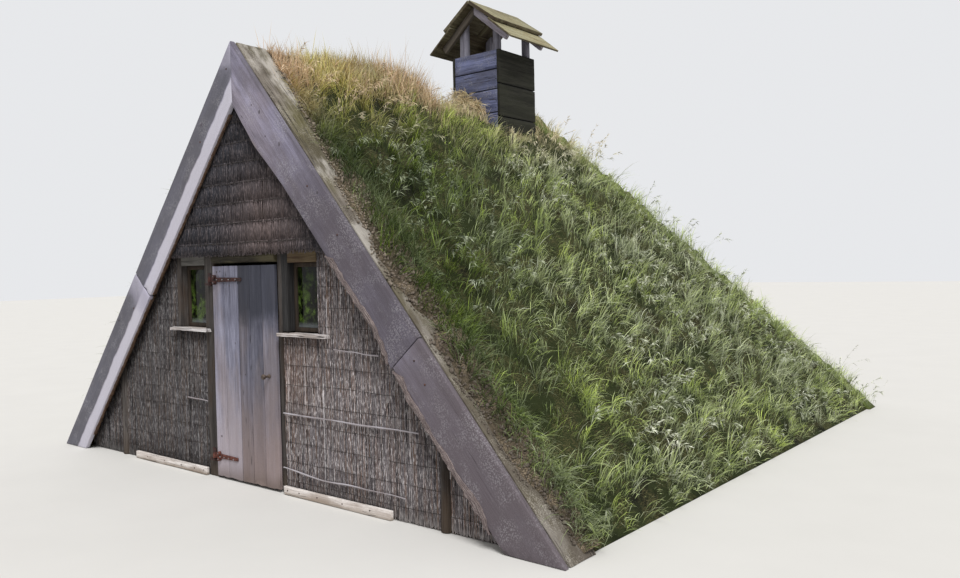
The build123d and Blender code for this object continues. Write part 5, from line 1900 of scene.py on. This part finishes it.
class HOUSE_OT_stage(HouseOperator, bpy.types.Operator):
    """Make the floor, the light and the camera"""

    bl_idname = "house.stage"
    bl_label = "Stage"

    def execute(self, context):
        sizes = settings().stage
        scene = context.scene
        self.make_floor(sizes)
        self.make_light(scene, sizes)
        self.make_camera(scene, sizes)
        scene.view_settings.view_transform = "Standard"
        return {"FINISHED"}

    def make_floor(self, sizes):
        """A plain pale floor."""
        part = bmesh.new()
        bmesh.ops.create_grid(part, x_segments=1, y_segments=1, size=sizes.floor_size / 2)
        bmesh.ops.translate(part, vec=(0, 0, -0.001), verts=part.verts)
        mesh = bpy.data.meshes.new("floor")
        part.to_mesh(mesh)
        part.free()
        ink = Finish("floor_paint", Roughness=0.9, Specular_IOR_Level=0.1)
        colour = ink.mixed(ink.speckled(ink.place(), 1.5), (206, 204, 200), (212, 210, 206))
        mesh.materials.append(ink.close(colour))
        floor = bpy.data.objects.new("floor", mesh)
        bpy.context.scene.collection.objects.link(floor)

    def make_light(self, scene, sizes):
        """Even light all round and one soft lamp from high on the right of the front."""
        world = bpy.data.worlds.new("studio")
        scene.world = world
        world.use_nodes = True
        world.node_tree.nodes.clear()
        ink = Nodes(world.node_tree)
        light, wall = (
            ink.put("ShaderNodeBackground", {"Color": colour, "Strength": strength}).outputs[0]
            for colour, strength in (((1.0, 1.0, 1.0, 1.0), sizes.sky), ((0.8, 0.81, 0.83, 1.0), 1.0)))
        path = ink.put("ShaderNodeLightPath").outputs
        seen = ink.sums("MAXIMUM", path["Is Camera Ray"], path["Is Glossy Ray"])
        seen = ink.sums("MAXIMUM", seen, path["Is Transmission Ray"])
        both = ink.put("ShaderNodeMixShader", {0: seen, 1: light, 2: wall}).outputs[0]
        ink.put("ShaderNodeOutputWorld", {0: both})
        lamp = bpy.data.lights.new("soft_lamp", "SUN")
        lamp.energy = sizes.lamp
        lamp.angle = radians(25)
        holder = bpy.data.objects.new("soft_lamp", lamp)
        toward = Vector((0.5, -0.36, 0.8))
        holder.rotation_euler = toward.to_track_quat("Z", "Y").to_euler()
        scene.collection.objects.link(holder)

    def make_camera(self, scene, sizes):
        """The camera of the photograph."""
        turn, tilt, lean = sizes.turn
        ahead = Vector((-sin(turn) * cos(tilt), cos(turn) * cos(tilt), sin(tilt)))
        level = Vector((cos(turn), sin(turn), 0))
        upright = level.cross(ahead)
        right = level * cos(lean) + upright * sin(lean)
        up = upright * cos(lean) - level * sin(lean)
        data = bpy.data.cameras.new("camera")
        data.sensor_fit = "HORIZONTAL"
        data.sensor_width = 36
        data.lens = sizes.focal_length
        camera = bpy.data.objects.new("camera", data)
        eye = Vector(sizes.eye) + Vector((0, FRONT, 0))
        camera.matrix_world = Matrix((
            (right.x, up.x, -ahead.x, eye.x),
            (right.y, up.y, -ahead.y, eye.y),
            (right.z, up.z, -ahead.z, eye.z),
            (0, 0, 0, 1)))
        scene.collection.objects.link(camera)
        scene.camera = camera


STEPS = (
    HOUSE_OT_stage,
    HOUSE_OT_front_boards,
    HOUSE_OT_bark,
    HOUSE_OT_board_marks,
    HOUSE_OT_gable_edge,
    HOUSE_OT_gable_reed,
    HOUSE_OT_reed_walls,
    HOUSE_OT_wall_frame,
    HOUSE_OT_windows,
    HOUSE_OT_foot_boards,
    HOUSE_OT_door,
    HOUSE_OT_hinges,
    HOUSE_OT_knob,
    HOUSE_OT_vent,
    HOUSE_OT_cap,
    HOUSE_OT_roof_frame,
    HOUSE_OT_turf,
    HOUSE_OT_grass,
)


class HOUSE_PT_panel(bpy.types.Panel):
    """Lists the steps that make the house"""

    bl_idname = "HOUSE_PT_panel"
    bl_label = "Turf House"
    bl_space_type = "VIEW_3D"
    bl_region_type = "UI"
    bl_category = "Turf House"

    def draw(self, context):
        for step in STEPS:
            self.layout.operator(step.bl_idname)


CLASSES = (
    TimberSettings,
    ReedSettings,
    TurfSettings,
    IronSettings,
    StageSettings,
    HouseSettings,
    *STEPS,
    HOUSE_PT_panel,
)


def register():
    """Adds the classes and the settings."""
    for item in CLASSES:
        bpy.utils.register_class(item)
    bpy.types.Scene.turf_house = PointerProperty(
        name="Turf House", description="Sizes and colours of the house", type=HouseSettings)


def unregister():
    """Takes the settings and the classes away again."""
    del bpy.types.Scene.turf_house
    for item in reversed(CLASSES):
        bpy.utils.unregister_class(item)


def main():
    """Makes every piece in order."""
    register()
    for step in STEPS:
        group, name = step.bl_idname.split(".")
        getattr(getattr(bpy.ops, group), name)()


if __name__ == "__main__":
    main()
